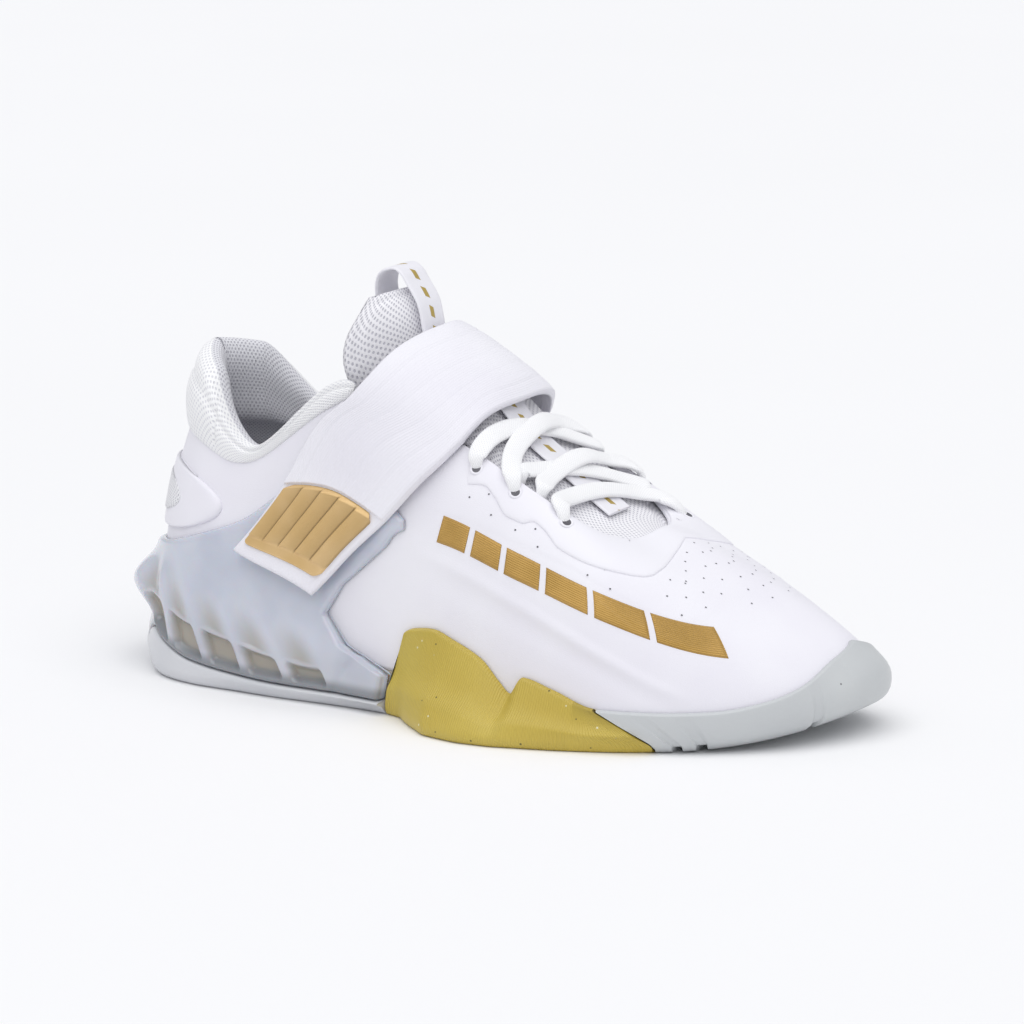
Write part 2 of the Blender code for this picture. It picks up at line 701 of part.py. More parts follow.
def add_cage():
    """Moulded cage round the heel, with a concave front edge and an arm under the strap."""
    levels = np.array([0.0, 0.1, 0.2, 0.3, 0.4, 0.52, 0.66, 0.82, 1.0])
    fins = np.arange(FIN_FIRST, FINS_END, FIN_PITCH / 3)
    plain = np.arange(FINS_END, HEEL + 0.01, (HEEL - FINS_END) / 2)
    stations = np.concatenate([fins, plain])
    ridge = np.concatenate([0.5 - 0.5 * np.cos(2 * math.pi * (fins - FIN_FIRST) / FIN_PITCH), 0 * plain])
    lead = 4
    rings, ridges = [], []
    for hand in range(2):
        front = cage_front(hand, levels)[:, None]
        leaning = stations[None, :] + FIN_LEAN * (levels[:, None] - 0.5) * (stations < FINS_END)
        first = np.maximum(leaning[:, :1], front + CAGE_PLAIN)
        leaning = np.maximum(leaning, first + FIN_LEAST * np.arange(len(stations)))
        ramp = np.linspace(0.0, 1.0, lead + 1)[None, :-1]
        half = np.concatenate([front + (first - front) * ramp, leaning], axis=1)
        half[:, -1] = HEEL
        rings.append(half if hand == 0 else RINGS - half[:, ::-1][:, 1:])
        fin = np.concatenate([np.zeros(lead), ridge])
        ridges.append(fin if hand == 0 else fin[::-1][1:])
    rings = np.concatenate(rings, axis=1)
    fin = np.concatenate(ridges)[None, :]
    low, high = cage_edges(rings)
    heights = low + (high - low) * levels[:, None]
    station = np.minimum(rings, RINGS - rings)
    outer = side(rings, heights, cage_lift(station, heights, fin))
    inner = side(rings, heights, GAP)
    return add_slab("heel_cage", outer, inner, "cage")


def add_collar():
    """Padded collar: a fat edge that stands on the upper's edge and overhangs inside."""
    data = np.array(COLLAR)
    rings = np.arange(data[0, 0], data[-1, 0] + PITCH / 2, PITCH)
    rise, lean, bulge, depth = (np.interp(rings, data[:, 0], data[:, k]) for k in range(1, 5))
    rise, lean, bulge, depth = rise * COLLAR_HEIGHT, lean * BALL_WIDTH, bulge * BALL_WIDTH, depth * BALL_WIDTH
    edge = ring(EDGE, rings)
    outward = rib_normal(rings, 0.98)
    outward[:, 2] = 0.0
    outward = unit(outward)
    shape = (
        # share of depth inward, share of rise, share of bulge, share of lean
        (0.0, 0.0, 0.1, 0.0),
        (0.0, 0.3, 0.9, 0.1),
        (0.0, 0.6, 1.0, 0.45),
        (0.05, 0.88, 0.3, 0.9),
        (0.30, 1.0, 0.0, 1.0),
        (0.70, 0.97, 0.0, 1.0),
        (0.95, 0.75, 0.0, 0.9),
        (1.0, 0.4, 0.0, 0.4),
        (0.9, 0.0, 0.0, 0.0),
    )
    up = np.array([0.0, 0.0, 1.0])
    sections = []
    for inward, height, out, tilt in shape:
        shift = out * bulge - inward * depth - tilt * lean
        sections.append(edge + outward * shift[:, None] + up * (GAP + height * rise)[:, None])
    return add_sweep("collar_pad", np.stack(sections, axis=1), "mesh")


def add_counter():
    """Oval overlay low on the back of the heel."""
    angle = np.arange(-COUNTER_HALF_RINGS, COUNTER_HALF_RINGS + 0.01, PITCH)[None, :]
    level = np.linspace(-1.0, 1.0, 4)[:, None]
    rings = HEEL + angle
    half = COUNTER_HALF_HEIGHT * COLLAR_HEIGHT * np.sqrt(1.1 - (angle / COUNTER_HALF_RINGS) ** 2)
    heights = COUNTER_MIDDLE * COLLAR_HEIGHT + half * level
    return add_slab("heel_counter", side(rings, heights, GAP + COUNTER), side(rings, heights, GAP), "upper")


def add_eyestay():
    """Scalloped band round the throat, with its eyelet holes."""
    data = np.array(EYESTAY_EDGE)
    signed = np.arange(data[0, 0], data[-1, 0] + 0.01, PITCH)[None, :]
    lower = np.interp(signed, data[:, 0], data[:, 1])
    level = np.linspace(0.0, 1.0, 4)[:, None]
    shares = lower + (1.0 - lower) * level
    rings = -signed
    outer = skin(rings, shares, 2 * GAP + EYESTAY)
    inner = skin(rings, shares, 2 * GAP)
    return add_slab("eyestay", outer, inner, "upper")


def cut_eyelets(targets):
    """Holes through the eyestay and the upper, square to the surface."""
    places = [float(s) for s in LATERAL_EYELETS] + [RINGS - float(s) for s in MEDIAL_EYELETS]
    rings = []
    for number, place in enumerate(places):
        centre = skin(place, EYELET_ARC, 0.0)
        axis = rib_normal(place, EYELET_ARC)
        across = unit(np.cross(axis, [1.0, 0.0, 0.0]))
        along = np.cross(axis, across)
        angles = np.linspace(0.0, 2 * math.pi, 7)[:-1]
        circle = centre + 0.5 * EYELET * (np.cos(angles)[:, None] * across + np.sin(angles)[:, None] * along)
        rings.append(np.stack([circle - axis * 0.006, circle + axis * 0.006]))
    for number, pair in enumerate(rings):
        cutter = add_sweep("cutter_%d" % number, pair, "upper")
        cutter.hide_render = True
        cutter.display_type = "WIRE"
        for target in targets:
            cut = target.modifiers.new("eyelet %d" % number, "BOOLEAN")
            cut.operation = "DIFFERENCE"
            cut.solver = "EXACT"
            cut.object = cutter


def tongue_rows():
    """Outer face of the tongue: under the vamp, along the throat, and free above it."""
    spread = np.array([0.0, 0.12, 0.25, 0.38, 0.5, 0.62, 0.75, 0.88, 1.0])
    under = -(WALL + TONGUE_CLEAR)
    rows = []
    for reach, share in ((1.35, 0.90), (1.40, 0.97)):
        rings = reach * (1 - 2 * spread)
        rows.append(skin(rings, share, under))
    for station in TONGUE_STATIONS:
        narrow = np.clip((station - 4.8) / 0.6, 0.0, 1.0)
        reach = 0.10 - 0.22 * narrow
        places = -reach + (1 + 2 * reach) * spread
        puff = np.sin(math.pi * np.clip(places, 0.0, 1.0)) ** 0.7
        rows.append(over(station, places, under * (1 - 0.75 * puff)))
    bow = 1 - (2 * spread - 1) ** 2
    for centre_x, centre_z, edge_x, half, edge_z in TONGUE_TOP:
        x = (edge_x + (centre_x - edge_x) * bow) * LENGTH
        y = (2 * spread - 1) * half * BALL_WIDTH
        z = (edge_z + (centre_z - edge_z) * bow) * COLLAR_HEIGHT
        rows.append(np.stack([x, y, z], axis=-1))
    return np.stack(rows)


def add_tongue():
    outer = tongue_rows()
    normals = grid_normals(outer)
    thick = np.full(outer.shape[:2], TONGUE)
    thick[:, (0, -1)] *= 0.5
    thick[(0, -1), :] *= 0.5
    inner = outer - normals * thick[..., None]
    return add_slab("tongue", outer, inner, "mesh")


def add_pull_loop():
    """Webbing up the tongue's middle that loops over its top."""
    rows = tongue_rows()
    normals = grid_normals(rows)
    middle = rows.shape[1] // 2
    path = [rows[k, middle] + normals[k, middle] * (3 * GAP + 0.5 * WEBBING) for k in range(3, len(rows))]
    path += [np.array([x * LENGTH, 0.0, z * COLLAR_HEIGHT]) for x, z in LOOP_TOP]
    path = np.array(path)
    path[:, 1] = np.interp(np.arange(len(path)), (0, len(path) - 6), (path[0, 1], 0.0))
    steps = np.linspace(0, len(path) - 1, 34)
    fine = catmull(path, steps)
    along = unit(np.gradient(fine, axis=0))
    out = unit(np.cross(np.array([0.0, 1.0, 0.0]), along))
    wide = np.array([0.0, 0.5 * WEBBING_WIDTH, 0.0])
    half = 0.5 * WEBBING * out
    sections = np.stack([fine - wide - half, fine + wide - half, fine + wide + half, fine - wide + half], axis=1)
    return add_sweep("pull_loop", sections, "strap")


def catmull(points, steps):
    """Smooth open curve through points, read at the given steps."""
    padded = np.concatenate([[2 * points[0] - points[1]], points, [2 * points[-1] - points[-2]]])
    index = np.clip(np.floor(steps).astype(int), 0, len(points) - 2)
    t = (steps - index)[:, None]
    before, here, after, beyond = (padded[index + step] for step in range(4))
    slope = after - before
    bend = 2 * before - 5 * here + 4 * after - beyond
    twist = 3 * (here - after) + beyond - before
    return here + 0.5 * t * (slope + t * (bend + t * twist))


def strap_point(along, across, lift):
    """Point of the strap: along its length from 0 to 1, across from rear edge to front edge."""
    along, across, lift = np.broadcast_arrays(
        np.asarray(along, float), np.asarray(across, float), np.asarray(lift, float))
    rows = np.array(STRAP_PATH)
    values = catmull(rows, along.ravel() * (len(rows) - 1)).reshape(along.shape + (6,))
    station = values[..., 0] + (values[..., 2] - values[..., 0]) * across
    place = values[..., 1] + (values[..., 3] - values[..., 1]) * across
    base = values[..., 4] + (values[..., 5] - values[..., 4]) * across
    return over(station, place, base + lift)


def add_strap():
    along = np.linspace(0.0, 1.0, 27)[:, None]
    across = np.linspace(0.0, 1.0, 5)[None, :]
    outer = strap_point(along, across, STRAP)
    inner = strap_point(along, across, 0.0)
    return add_slab("strap", outer, inner, "strap")


def add_grip():
    """Moulded tab on the strap's end: a flat base with a row of stepped bars."""
    along = np.concatenate([[GRIP_SPAN[0]], np.linspace(0.060, 0.184, 3), [GRIP_SPAN[1]]])[:, None]
    edges = np.linspace(GRIP_SIDES[0], GRIP_SIDES[1], GRIP_BARS + 1)
    width = edges[1] - edges[0]
    across, steps = [GRIP_SIDES[0]], [0.0]
    for start in edges[:-1]:
        across += [start + 0.10 * width, start + 0.22 * width, start + 0.88 * width, start + 0.98 * width]
        steps += [0.0, 1.0, 0.35, 0.0]
    across.append(GRIP_SIDES[1])
    steps.append(0.0)
    border = np.ones(len(along))
    border[[0, 1, -1]] = 0.0
    lift = GRIP_BASE + GRIP_STEP * np.array(steps)[None, :] * border[:, None]
    across = np.array(across)[None, :]
    outer = strap_point(along, across, STRAP + GAP + lift)
    inner = strap_point(along, across, STRAP + GAP)
    return add_slab("strap_grip", outer, inner, "gold")


def lace_strand(start, end, first, last, hop):
    """Sections of one flat lace strand from a lateral station to a medial one."""
    share = np.linspace(0.0, 1.0, 13)
    place = first + (last - first) * share
    station = start + (end - start) * share
    base = 4 * GAP + max(EYESTAY, WEBBING) + 0.5 * LACE_THICKNESS
    lift = base + hop * np.exp(-((share - 0.5) / 0.16) ** 2)
    middle = over(station, place, lift)
    up = unit(over(station, place, lift + 0.001) - middle)
    along = unit(np.gradient(middle, axis=0))
    wide = unit(np.cross(along, up))
    angles = np.linspace(0.0, 2 * math.pi, 7)[:-1]
    circle = (np.cos(angles)[None, :, None] * wide[:, None, :] * 0.5 * LACE_WIDTH
              + np.sin(angles)[None, :, None] * up[:, None, :] * 0.5 * LACE_THICKNESS)
    return middle[:, None, :] + circle


def add_crossing(name, low, low_in, high, high_in):
    """Two strands that cross between two pairs of eyelets, joined where they meet.

    Each strand comes up from under the throat's edge beside the lower eyelet and ends
    over the upper eyelet on the other side.
    """
    base = add_sweep(name, lace_strand(low + LACE_SIDE_STEP, high_in, LACE_INSIDE, 1 + LACE_END, 0.0), "lace")
    hop = LACE_THICKNESS - 0.5 * LACE_OVERLAP
    strand = lace_strand(high, low_in + LACE_SIDE_STEP, -LACE_END, 1 - LACE_INSIDE, hop)
    cutter = add_sweep("strand_%s" % name, strand, "lace")
    cutter.hide_render = True
    cutter.display_type = "WIRE"
    join = base.modifiers.new("crossing", "BOOLEAN")
    join.operation = "UNION"
    join.solver = "EXACT"
    join.object = cutter


def add_laces():
    """Straight bar at the throat's front and two crossings above it."""
    low, middle, high = LATERAL_EYELETS
    low_in, middle_in, high_in = MEDIAL_EYELETS
    add_sweep("lace_bar", lace_strand(low, low_in, -LACE_END, 1 + LACE_END, 0.0), "lace")
    add_crossing("lace_cross_lower", low, low_in, middle, middle_in)
    add_crossing("lace_cross_upper", middle, middle_in, high, high_in)


def centre_on_floor():
    """Parent all pieces to an empty that puts the shoe's middle over the origin."""
    bpy.context.view_layer.update()
    solids = [thing for thing in bpy.data.objects if thing.type == "MESH" and not thing.hide_render]
    corners = np.array([list(vertex.co) for thing in solids for vertex in thing.data.vertices])
    low, high = corners.min(axis=0), corners.max(axis=0)
    frame = bpy.data.objects.new("shoe_frame", None)
    frame.location = (-(low[0] + high[0]) / 2, -(low[1] + high[1]) / 2, -low[2])
    bpy.context.scene.collection.objects.link(frame)
    for thing in bpy.data.objects:
        if thing.type == "MESH":
            thing.parent = frame


def main():
    for old in list(bpy.data.objects):
        bpy.data.objects.remove(old)
    add_outsoles()
    add_midsole()
    add_insole()
    upper = add_upper()
    add_cage()
    add_collar()
    add_counter()
    eyestay = add_eyestay()
    cut_eyelets((upper, eyestay))
    add_tongue()
    add_pull_loop()
    add_strap()
    add_grip()
    add_laces()
    centre_on_floor()


main()
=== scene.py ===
# %% [markdown]
# # A white weightlifting shoe
#
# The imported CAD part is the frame: its solids say where everything is and how it moves.
# This script dresses it. Every visible piece is made again as a finer surface over the
# same last, so a layer here lies where its solid lies, and gets the finish of the real one.
# A last could also be sculpted or subdivided from the solids, but a surface worked out from
# a table gives each point its own place along the shoe and up its side, and seams, holes
# and ridges can then be put at a named place.

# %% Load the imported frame
import math

import bpy
import numpy as np
from mathutils import Matrix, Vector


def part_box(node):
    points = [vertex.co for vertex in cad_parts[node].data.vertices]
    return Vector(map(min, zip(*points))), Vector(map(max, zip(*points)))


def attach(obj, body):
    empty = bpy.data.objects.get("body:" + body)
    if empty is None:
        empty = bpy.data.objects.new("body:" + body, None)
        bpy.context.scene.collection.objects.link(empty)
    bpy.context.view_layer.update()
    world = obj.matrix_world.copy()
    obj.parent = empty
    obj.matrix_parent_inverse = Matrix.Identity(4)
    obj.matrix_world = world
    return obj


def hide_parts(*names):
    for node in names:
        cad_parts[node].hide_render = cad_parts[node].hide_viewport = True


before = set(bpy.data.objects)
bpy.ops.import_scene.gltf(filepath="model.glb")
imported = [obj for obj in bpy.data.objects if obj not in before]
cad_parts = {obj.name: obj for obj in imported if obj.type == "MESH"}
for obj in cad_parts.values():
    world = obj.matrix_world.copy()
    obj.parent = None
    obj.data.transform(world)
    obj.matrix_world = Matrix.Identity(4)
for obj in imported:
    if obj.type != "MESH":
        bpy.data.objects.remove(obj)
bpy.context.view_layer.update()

# %% [markdown]
# ## Sizes and the last
#
# A shoe is built over a last, a smooth foot-shaped block. Here the last is a ring of
# eighteen ribs, numbered from the toe round the outer side to the heel at 9 and back along
# the inner side. A rib rises from the foot line, where upper and sole meet, to the edge of
# the throat or collar. Lengths below are shares of the four named sizes, in metres.

# %% Named sizes and the table of ribs
LENGTH = 0.295
BALL_WIDTH = 0.1025
HEEL_RISE = 0.0312
COLLAR_HEIGHT = 0.1168
GAP = 0.0003
WALL = 0.0022
OUTSOLE = 0.0040
TOE_SPRING = 0.0100
SOLE_EDGE = 0.0020
INSOLE = 0.0040
COUNTER = 0.0014
CAGE = 0.0024
CAGE_LIP = 0.0075
TONGUE = 0.0050
TONGUE_CLEAR = 0.0012
WEBBING = 0.0012
WEBBING_WIDTH = 0.0165
STRAP = 0.0020
GRIP_BASE = 0.0010
GRIP_STEP = 0.0014
EYELET = 0.0036
RINGS = 18
HEEL = 9
FIRST_ROW = 0.15

LAST = (
    # name, foot x, foot y, foot height, edge x, edge y, edge height, arc, fullness
    ("toe tip", 0.505, 0.159, 0.718, 0.228, 0.040, 0.597, 78, 1.25),
    ("lateral toe", 0.457, -0.134, 0.587, 0.219, -0.119, 0.588, 74, 1.35),
    ("lateral forefoot", 0.371, -0.352, 0.408, 0.193, -0.238, 0.623, 68, 1.6),
    ("lateral ball", 0.262, -0.486, 0.392, 0.145, -0.293, 0.697, 62, 1.9),
    ("lateral waist", 0.138, -0.501, 0.440, 0.076, -0.298, 0.788, 60, 2.1),
    ("lateral instep", 0.014, -0.452, 0.506, 0.000, -0.288, 0.871, 60, 2.2),
    ("lateral ankle", -0.124, -0.392, 0.555, -0.141, -0.318, 0.967, 45, 2.0),
    ("lateral heel", -0.276, -0.377, 0.750, -0.290, -0.293, 0.732, 40, 2.0),
    ("lateral heel corner", -0.407, -0.303, 0.848, -0.379, -0.218, 0.766, 38, 2.0),
    ("heel", -0.472, -0.010, 0.881, -0.438, 0.000, 0.792, 35, 2.0),
    ("medial heel corner", -0.407, 0.283, 0.848, -0.379, 0.208, 0.784, 38, 2.0),
    ("medial heel", -0.276, 0.347, 0.750, -0.283, 0.283, 0.766, 40, 2.0),
    ("medial ankle", -0.124, 0.343, 0.555, -0.138, 0.298, 0.967, 45, 2.0),
    ("medial instep", 0.021, 0.377, 0.506, 0.007, 0.288, 0.880, 60, 2.2),
    ("medial waist", 0.159, 0.442, 0.440, 0.079, 0.298, 0.788, 60, 2.1),
    ("medial ball", 0.290, 0.472, 0.392, 0.148, 0.298, 0.692, 62, 1.9),
    ("medial forefoot", 0.393, 0.447, 0.408, 0.197, 0.248, 0.618, 68, 1.6),
    ("medial toe", 0.471, 0.357, 0.587, 0.221, 0.159, 0.592, 74, 1.35),
)
SPINE = (
    # x, y, bed height
    (0.438, 0.139, 0.816),
    (0.407, 0.089, 0.685),
    (0.359, 0.040, 0.489),
    (0.276, -0.010, 0.457),
    (0.148, -0.030, 0.587),
    (0.021, -0.040, 0.767),
    (-0.124, -0.025, 0.897),
    (-0.276, -0.010, 0.979),
    (-0.359, -0.010, 1.011),
    (-0.386, -0.010, 1.011),
)
# station, bulge of the bridge over the throat as a share of its span
DOMING = ((0.0, 0.5), (2.0, 0.5), (3.0, 0.55), (4.0, 0.75), (4.8, 1.25), (5.5, 1.4))
FOOT = np.array([row[1:4] for row in LAST]) * (LENGTH, BALL_WIDTH, HEEL_RISE)
EDGE = np.array([row[4:7] for row in LAST]) * (LENGTH, BALL_WIDTH, COLLAR_HEIGHT)
SHAPE = np.array([[math.radians(row[7]), row[8]] for row in LAST])
SPINE_POINTS = np.array(SPINE) * (LENGTH, BALL_WIDTH, HEEL_RISE)
print("ribs:", len(LAST), "stations on the spine:", len(SPINE))

# %% [markdown]
# ## The last's surface
#
# A point of the last is found from two numbers: how far round the ring, and how far up the
# rib. Between ribs the values follow a Catmull-Rom curve, so the side has no corners. Over
# the throat a Hermite curve bridges the two facing edges. A layer is the same surface
# moved out along its normal by a lift.

# %% Curves through rows
def cubic_through(before, here, after, beyond, t):
    """Catmull-Rom curve between here and after, t from 0 to 1, shaped by their neighbours."""
    bend = 2 * before - 5 * here + 4 * after - beyond
    twist = 3 * (here - after) + beyond - before
    return here + 0.5 * t * (after - before + t * (bend + t * twist))


def ring(table, place):
    """Smooth closed curve through the ring's rows: a Catmull-Rom spline at ring number place."""
    place = np.asarray(place, float) % RINGS
    index = np.floor(place).astype(int)
    t = (place - index)[..., None]
    return cubic_through(*(table[(index + step) % RINGS] for step in (-1, 0, 1, 2)), t)


def column(rows, place, number):
    """Value of a table's column at a place, from a cubic that never overshoots.

    Each row's slope is the harmonic mean of the slopes to its two neighbours, or 0 where
    those point opposite ways.
    """
    data = np.array(rows, float)
    x, y = data[:, 0], data[:, number]
    steps = np.diff(y) / np.diff(x)
    before, after = steps[:-1], steps[1:]
    same = before * after > 0
    inner = np.where(same, 2 * before * after / np.where(same, before + after, 1.0), 0.0)
    slopes = np.concatenate([steps[:1], inner, steps[-1:]])
    place = np.clip(place, x[0], x[-1])
    k = np.clip(np.searchsorted(x, place) - 1, 0, len(x) - 2)
    gap = x[k + 1] - x[k]
    t = (place - x[k]) / gap
    return (y[k] * (1 + 2 * t) * (1 - t) ** 2 + slopes[k] * gap * t * (1 - t) ** 2
            + y[k + 1] * t * t * (3 - 2 * t) + slopes[k + 1] * gap * t * t * (t - 1))


print("foot line at the ball in mm:", (ring(FOOT, [3.0])[0] * 1000).round(1))

# %% [markdown]
# A rib is part of a rounded square: its arc says how far round it goes before it meets the
# edge, and its fullness how square it is. The outward normal is the cross product of the
# steps up the rib and along the ring.

# %% Points on the side
def rib(place, share):
    """Point of the upper's outer face at a ring number and a share of the rib's arc."""
    foot, edge, shape = ring(FOOT, place), ring(EDGE, place), ring(SHAPE, place)
    arc, power = shape[..., 0], 2.0 / shape[..., 1]
    angle = np.clip(arc * share, 0.0, math.radians(89.0))
    across = (1 - np.cos(angle) ** power) / (1 - np.cos(arc) ** power)
    rise = np.sin(angle) ** power / np.sin(arc) ** power
    return foot + (edge - foot) * np.stack([across, across, rise], axis=-1)


def unit(vectors):
    """Vectors scaled to length 1."""
    return vectors / np.linalg.norm(vectors, axis=-1, keepdims=True)


def rib_normal(place, share):
    """Outward normal of the ribs' surface."""
    step = 0.004
    share = np.maximum(share, 0.0)
    along = rib(place + step, share) - rib(place - step, share)
    up = rib(place, share + step) - rib(place, np.maximum(share - step, 0.0))
    return unit(np.cross(up, along))


def skin(place, share, lift):
    """Point at a lift over the upper's outer face."""
    place, share, lift = np.broadcast_arrays(place, share, lift)
    return rib(place, share) + rib_normal(place, share) * lift[..., None]


def share_at_height(place, height):
    """Share of the rib's arc at which the rib reaches a height."""
    foot, edge, shape = ring(FOOT, place), ring(EDGE, place), ring(SHAPE, place)
    arc, power = shape[..., 0], 2.0 / shape[..., 1]
    rise = np.clip((height - foot[..., 2]) / (edge[..., 2] - foot[..., 2]), 0.0, 1.0)
    return np.arcsin(rise ** (1 / power) * np.sin(arc)) / arc


def side(place, height, lift):
    """Point on the shoe's side: over the upper, and below the foot line over its upright."""
    place, height, lift = np.broadcast_arrays(place, height, lift)
    points = skin(place, share_at_height(place, height), lift)
    foot = ring(FOOT, place)[..., 2]
    points[..., 2] = np.where(height < foot, height, points[..., 2])
    return points


print("heel edge's height in mm:", round(float(rib([9.0], 1.0)[0, 2]) * 1000, 1))

# %% [markdown]
# A station is a ring number counted from the toe on either side, so one station names a
# slice of the shoe. Places across the throat run from 0 at the outer edge to 1 at the
# inner edge, and go on down the ribs beyond them.

# %% Points over the throat and under the sole
def ring_of(station, hand):
    """Ring number of a station; hand is -1 for lateral and 1 for medial."""
    return station if hand < 0 else RINGS - station


def bridge(station, place):
    """Instep over the throat: a curve from the lateral edge to the medial edge."""
    left, right = rib(station, 1.0), rib(RINGS - station, 1.0)
    doming = np.interp(station, *zip(*DOMING))[..., None]
    chord = np.linalg.norm(right - left, axis=-1, keepdims=True) * doming
    leave = unit(left - rib(station, 0.97)) * chord
    arrive = unit(rib(RINGS - station, 0.97) - right) * chord
    t = np.asarray(place, float)[..., None]
    return ((2 * t ** 3 - 3 * t ** 2 + 1) * left + (t ** 3 - 2 * t ** 2 + t) * leave
            + (3 * t ** 2 - 2 * t ** 3) * right + (t ** 3 - t ** 2) * arrive)


def section(station, place):
    """Point of the closed last: down the ribs below 0 and above 1, over the throat between."""
    station, place = np.broadcast_arrays(np.asarray(station, float), np.asarray(place, float))
    lateral = rib(station, 1.0 + np.minimum(place, 0.0))
    medial = rib(RINGS - station, 2.0 - np.maximum(place, 1.0))
    middle = bridge(station, np.clip(place, 0.0, 1.0))
    low, high = (place < 0.0)[..., None], (place > 1.0)[..., None]
    return np.where(low, lateral, np.where(high, medial, middle))


def over(station, place, lift):
    """Point at a lift over the closed last."""
    station, place, lift = np.broadcast_arrays(
        np.asarray(station, float), np.asarray(place, float), np.asarray(lift, float))
    step = 0.01
    across = section(station, place + step) - section(station, place - step)
    back = section(station + step, place) - section(station - step, place)
    return section(station, place) + unit(np.cross(across, back)) * lift[..., None]


def spring(x):
    """Height of the tread under the shoe: flat, then rising at the toe."""
    start = 0.30 * LENGTH
    return TOE_SPRING * (np.maximum(x - start, 0.0) / (0.5 * LENGTH - start)) ** 2


def spine_at(station):
    """Point of the sole's spine at the foot bed, smooth between its rows."""
    rows = np.arange(len(SPINE_POINTS))
    return np.stack([np.interp(station, rows, SPINE_POINTS[:, axis]) for axis in range(3)], axis=-1)


def tread_point(station, hand, share, raise_by, spread):
    """Point between the spine (0) and the outline (1) at a height over the tread."""
    inner = spine_at(station)
    outer = side(ring_of(station, hand), -1.0, spread)
    point = inner + (outer - inner) * share
    point[..., 2] = spring(point[..., 0]) + raise_by
    return point


def catmull(points, steps):
    """Smooth open curve through points, read at the given steps."""
    padded = np.concatenate([[2 * points[0] - points[1]], points, [2 * points[-1] - points[-2]]])
    index = np.clip(np.floor(steps).astype(int), 0, len(points) - 2)
    return cubic_through(*(padded[index + step] for step in range(4)), (steps - index)[:, None])


print("rise of the tread at the toe in mm:", round(float(spring(0.5 * LENGTH)) * 1000, 1))

# %% [markdown]
# The tables give the last in its own place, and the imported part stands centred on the
# floor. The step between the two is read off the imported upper's box.

# %% Step from the last's place to the frame's
LAST_COLUMNS = np.arange(0, RINGS, 0.25)[None, :]
LAST_ROWS = np.array([0.0, FIRST_ROW, 0.32, 0.5, 0.68, 0.85, 1.0])[:, None]
own = np.concatenate([skin(LAST_COLUMNS, LAST_ROWS, lift).reshape(-1, 3) for lift in (0.0, -WALL)])
packed = np.array([list(corner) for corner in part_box("upper")])
SHIFT = packed.mean(axis=0) - 0.5 * (own.min(axis=0) + own.max(axis=0))
print("shift in mm:", (SHIFT * 1000).round(2), "size error in mm:",
      ((packed[1] - packed[0] - np.ptp(own, axis=0)) * 1000).round(2))

# %% [markdown]
# ## From grids to meshes
#
# Every piece below is a grid of points. A closed piece is a grid whose rows close into a
# loop, like a tube, with its two ends capped. Each face corner gets its place on the
# surface in metres as its UV, so that a weave keeps its real scale wherever it runs.

# %% Mesh helpers
def measure(points, axis):
    """Running length along one axis of a grid, averaged over the other axis."""
    steps = np.linalg.norm(np.diff(points, axis=axis), axis=2).mean(axis=1 - axis)
    return np.concatenate([[0.0], np.cumsum(steps)])


def add_object(name, data):
    """Object of a mesh, light or camera, in the scene."""
    made = bpy.data.objects.new(name, data)
    bpy.context.scene.collection.objects.link(made)
    return made


def add_mesh(name, points, faces, corners, finishes, faces_finish=None):
    """Mesh object from points, quads and a UV for each quad's corners, riding on the root body."""
    mesh = bpy.data.meshes.new(name)
    mesh.vertices.add(len(points))
    mesh.vertices.foreach_set("co", points.ravel())
    mesh.loops.add(faces.size)
    mesh.loops.foreach_set("vertex_index", faces.ravel())
    mesh.polygons.add(len(faces))
    mesh.polygons.foreach_set("loop_start", np.arange(0, faces.size, 4))
    mesh.update(calc_edges=True)
    mesh.uv_layers.new(name="surface").data.foreach_set("uv", corners.reshape(-1, 2).ravel())
    mesh.validate()
    mesh.polygons.foreach_set("use_smooth", np.full(len(mesh.polygons), True))
    for finish in finishes:
        mesh.materials.append(finish)
    if faces_finish is not None:
        mesh.polygons.foreach_set("material_index", faces_finish)
    piece = add_object(name, mesh)
    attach(piece, "root")
    return piece


def make_piece(name, points, faces, corners, finishes, faces_finish=None):
    """Closed piece with its faces pointing outwards.

    The signed volume is the sum of the triangles' scalar triple products; where it is
    negative the faces are turned round.
    """
    points = points.reshape(-1, 3) + SHIFT
    a, b, c, d = (points[faces[:, k]] for k in range(4))
    if np.einsum("ij,ij->", a, np.cross(b, c) + np.cross(c, d)) < 0:
        faces, corners = faces[:, ::-1], corners[:, ::-1]
    return add_mesh(name, points, faces, corners, finishes, faces_finish)


# %% [markdown]
# A grid's quads are numbered by one rule for every piece. A tube closes each row on itself
# and gets a ladder of quads at both ends, and a layer is a flat tube of two grids.

# %% Closed pieces from grids
def quads(rows, columns, close_rows=False, close_columns=False):
    """Vertex numbers and grid places of a grid's quads."""
    r = np.arange(rows if close_rows else rows - 1)[:, None]
    c = np.arange(columns if close_columns else columns - 1)[None, :]
    r, c = np.broadcast_arrays(r, c)
    ways = ((0, 0), (0, 1), (1, 1), (1, 0))
    faces = np.stack([((r + i) % rows) * columns + (c + j) % columns for i, j in ways], axis=-1)
    places = np.stack([np.stack([r + i, c + j], axis=-1) for i, j in ways], axis=-2)
    return faces.reshape(-1, 4), places.reshape(-1, 4, 2)


def grid_uv(points, places, close_rows, close_columns):
    """UV in metres of each quad corner: running lengths along the grid's columns and rows."""
    tall = measure(np.concatenate([points, points[:1]]) if close_rows else points, 0)
    wide = measure(np.concatenate([points, points[:, :1]], axis=1) if close_columns else points, 1)
    return np.stack([wide[places[..., 1]], tall[places[..., 0]]], axis=-1)


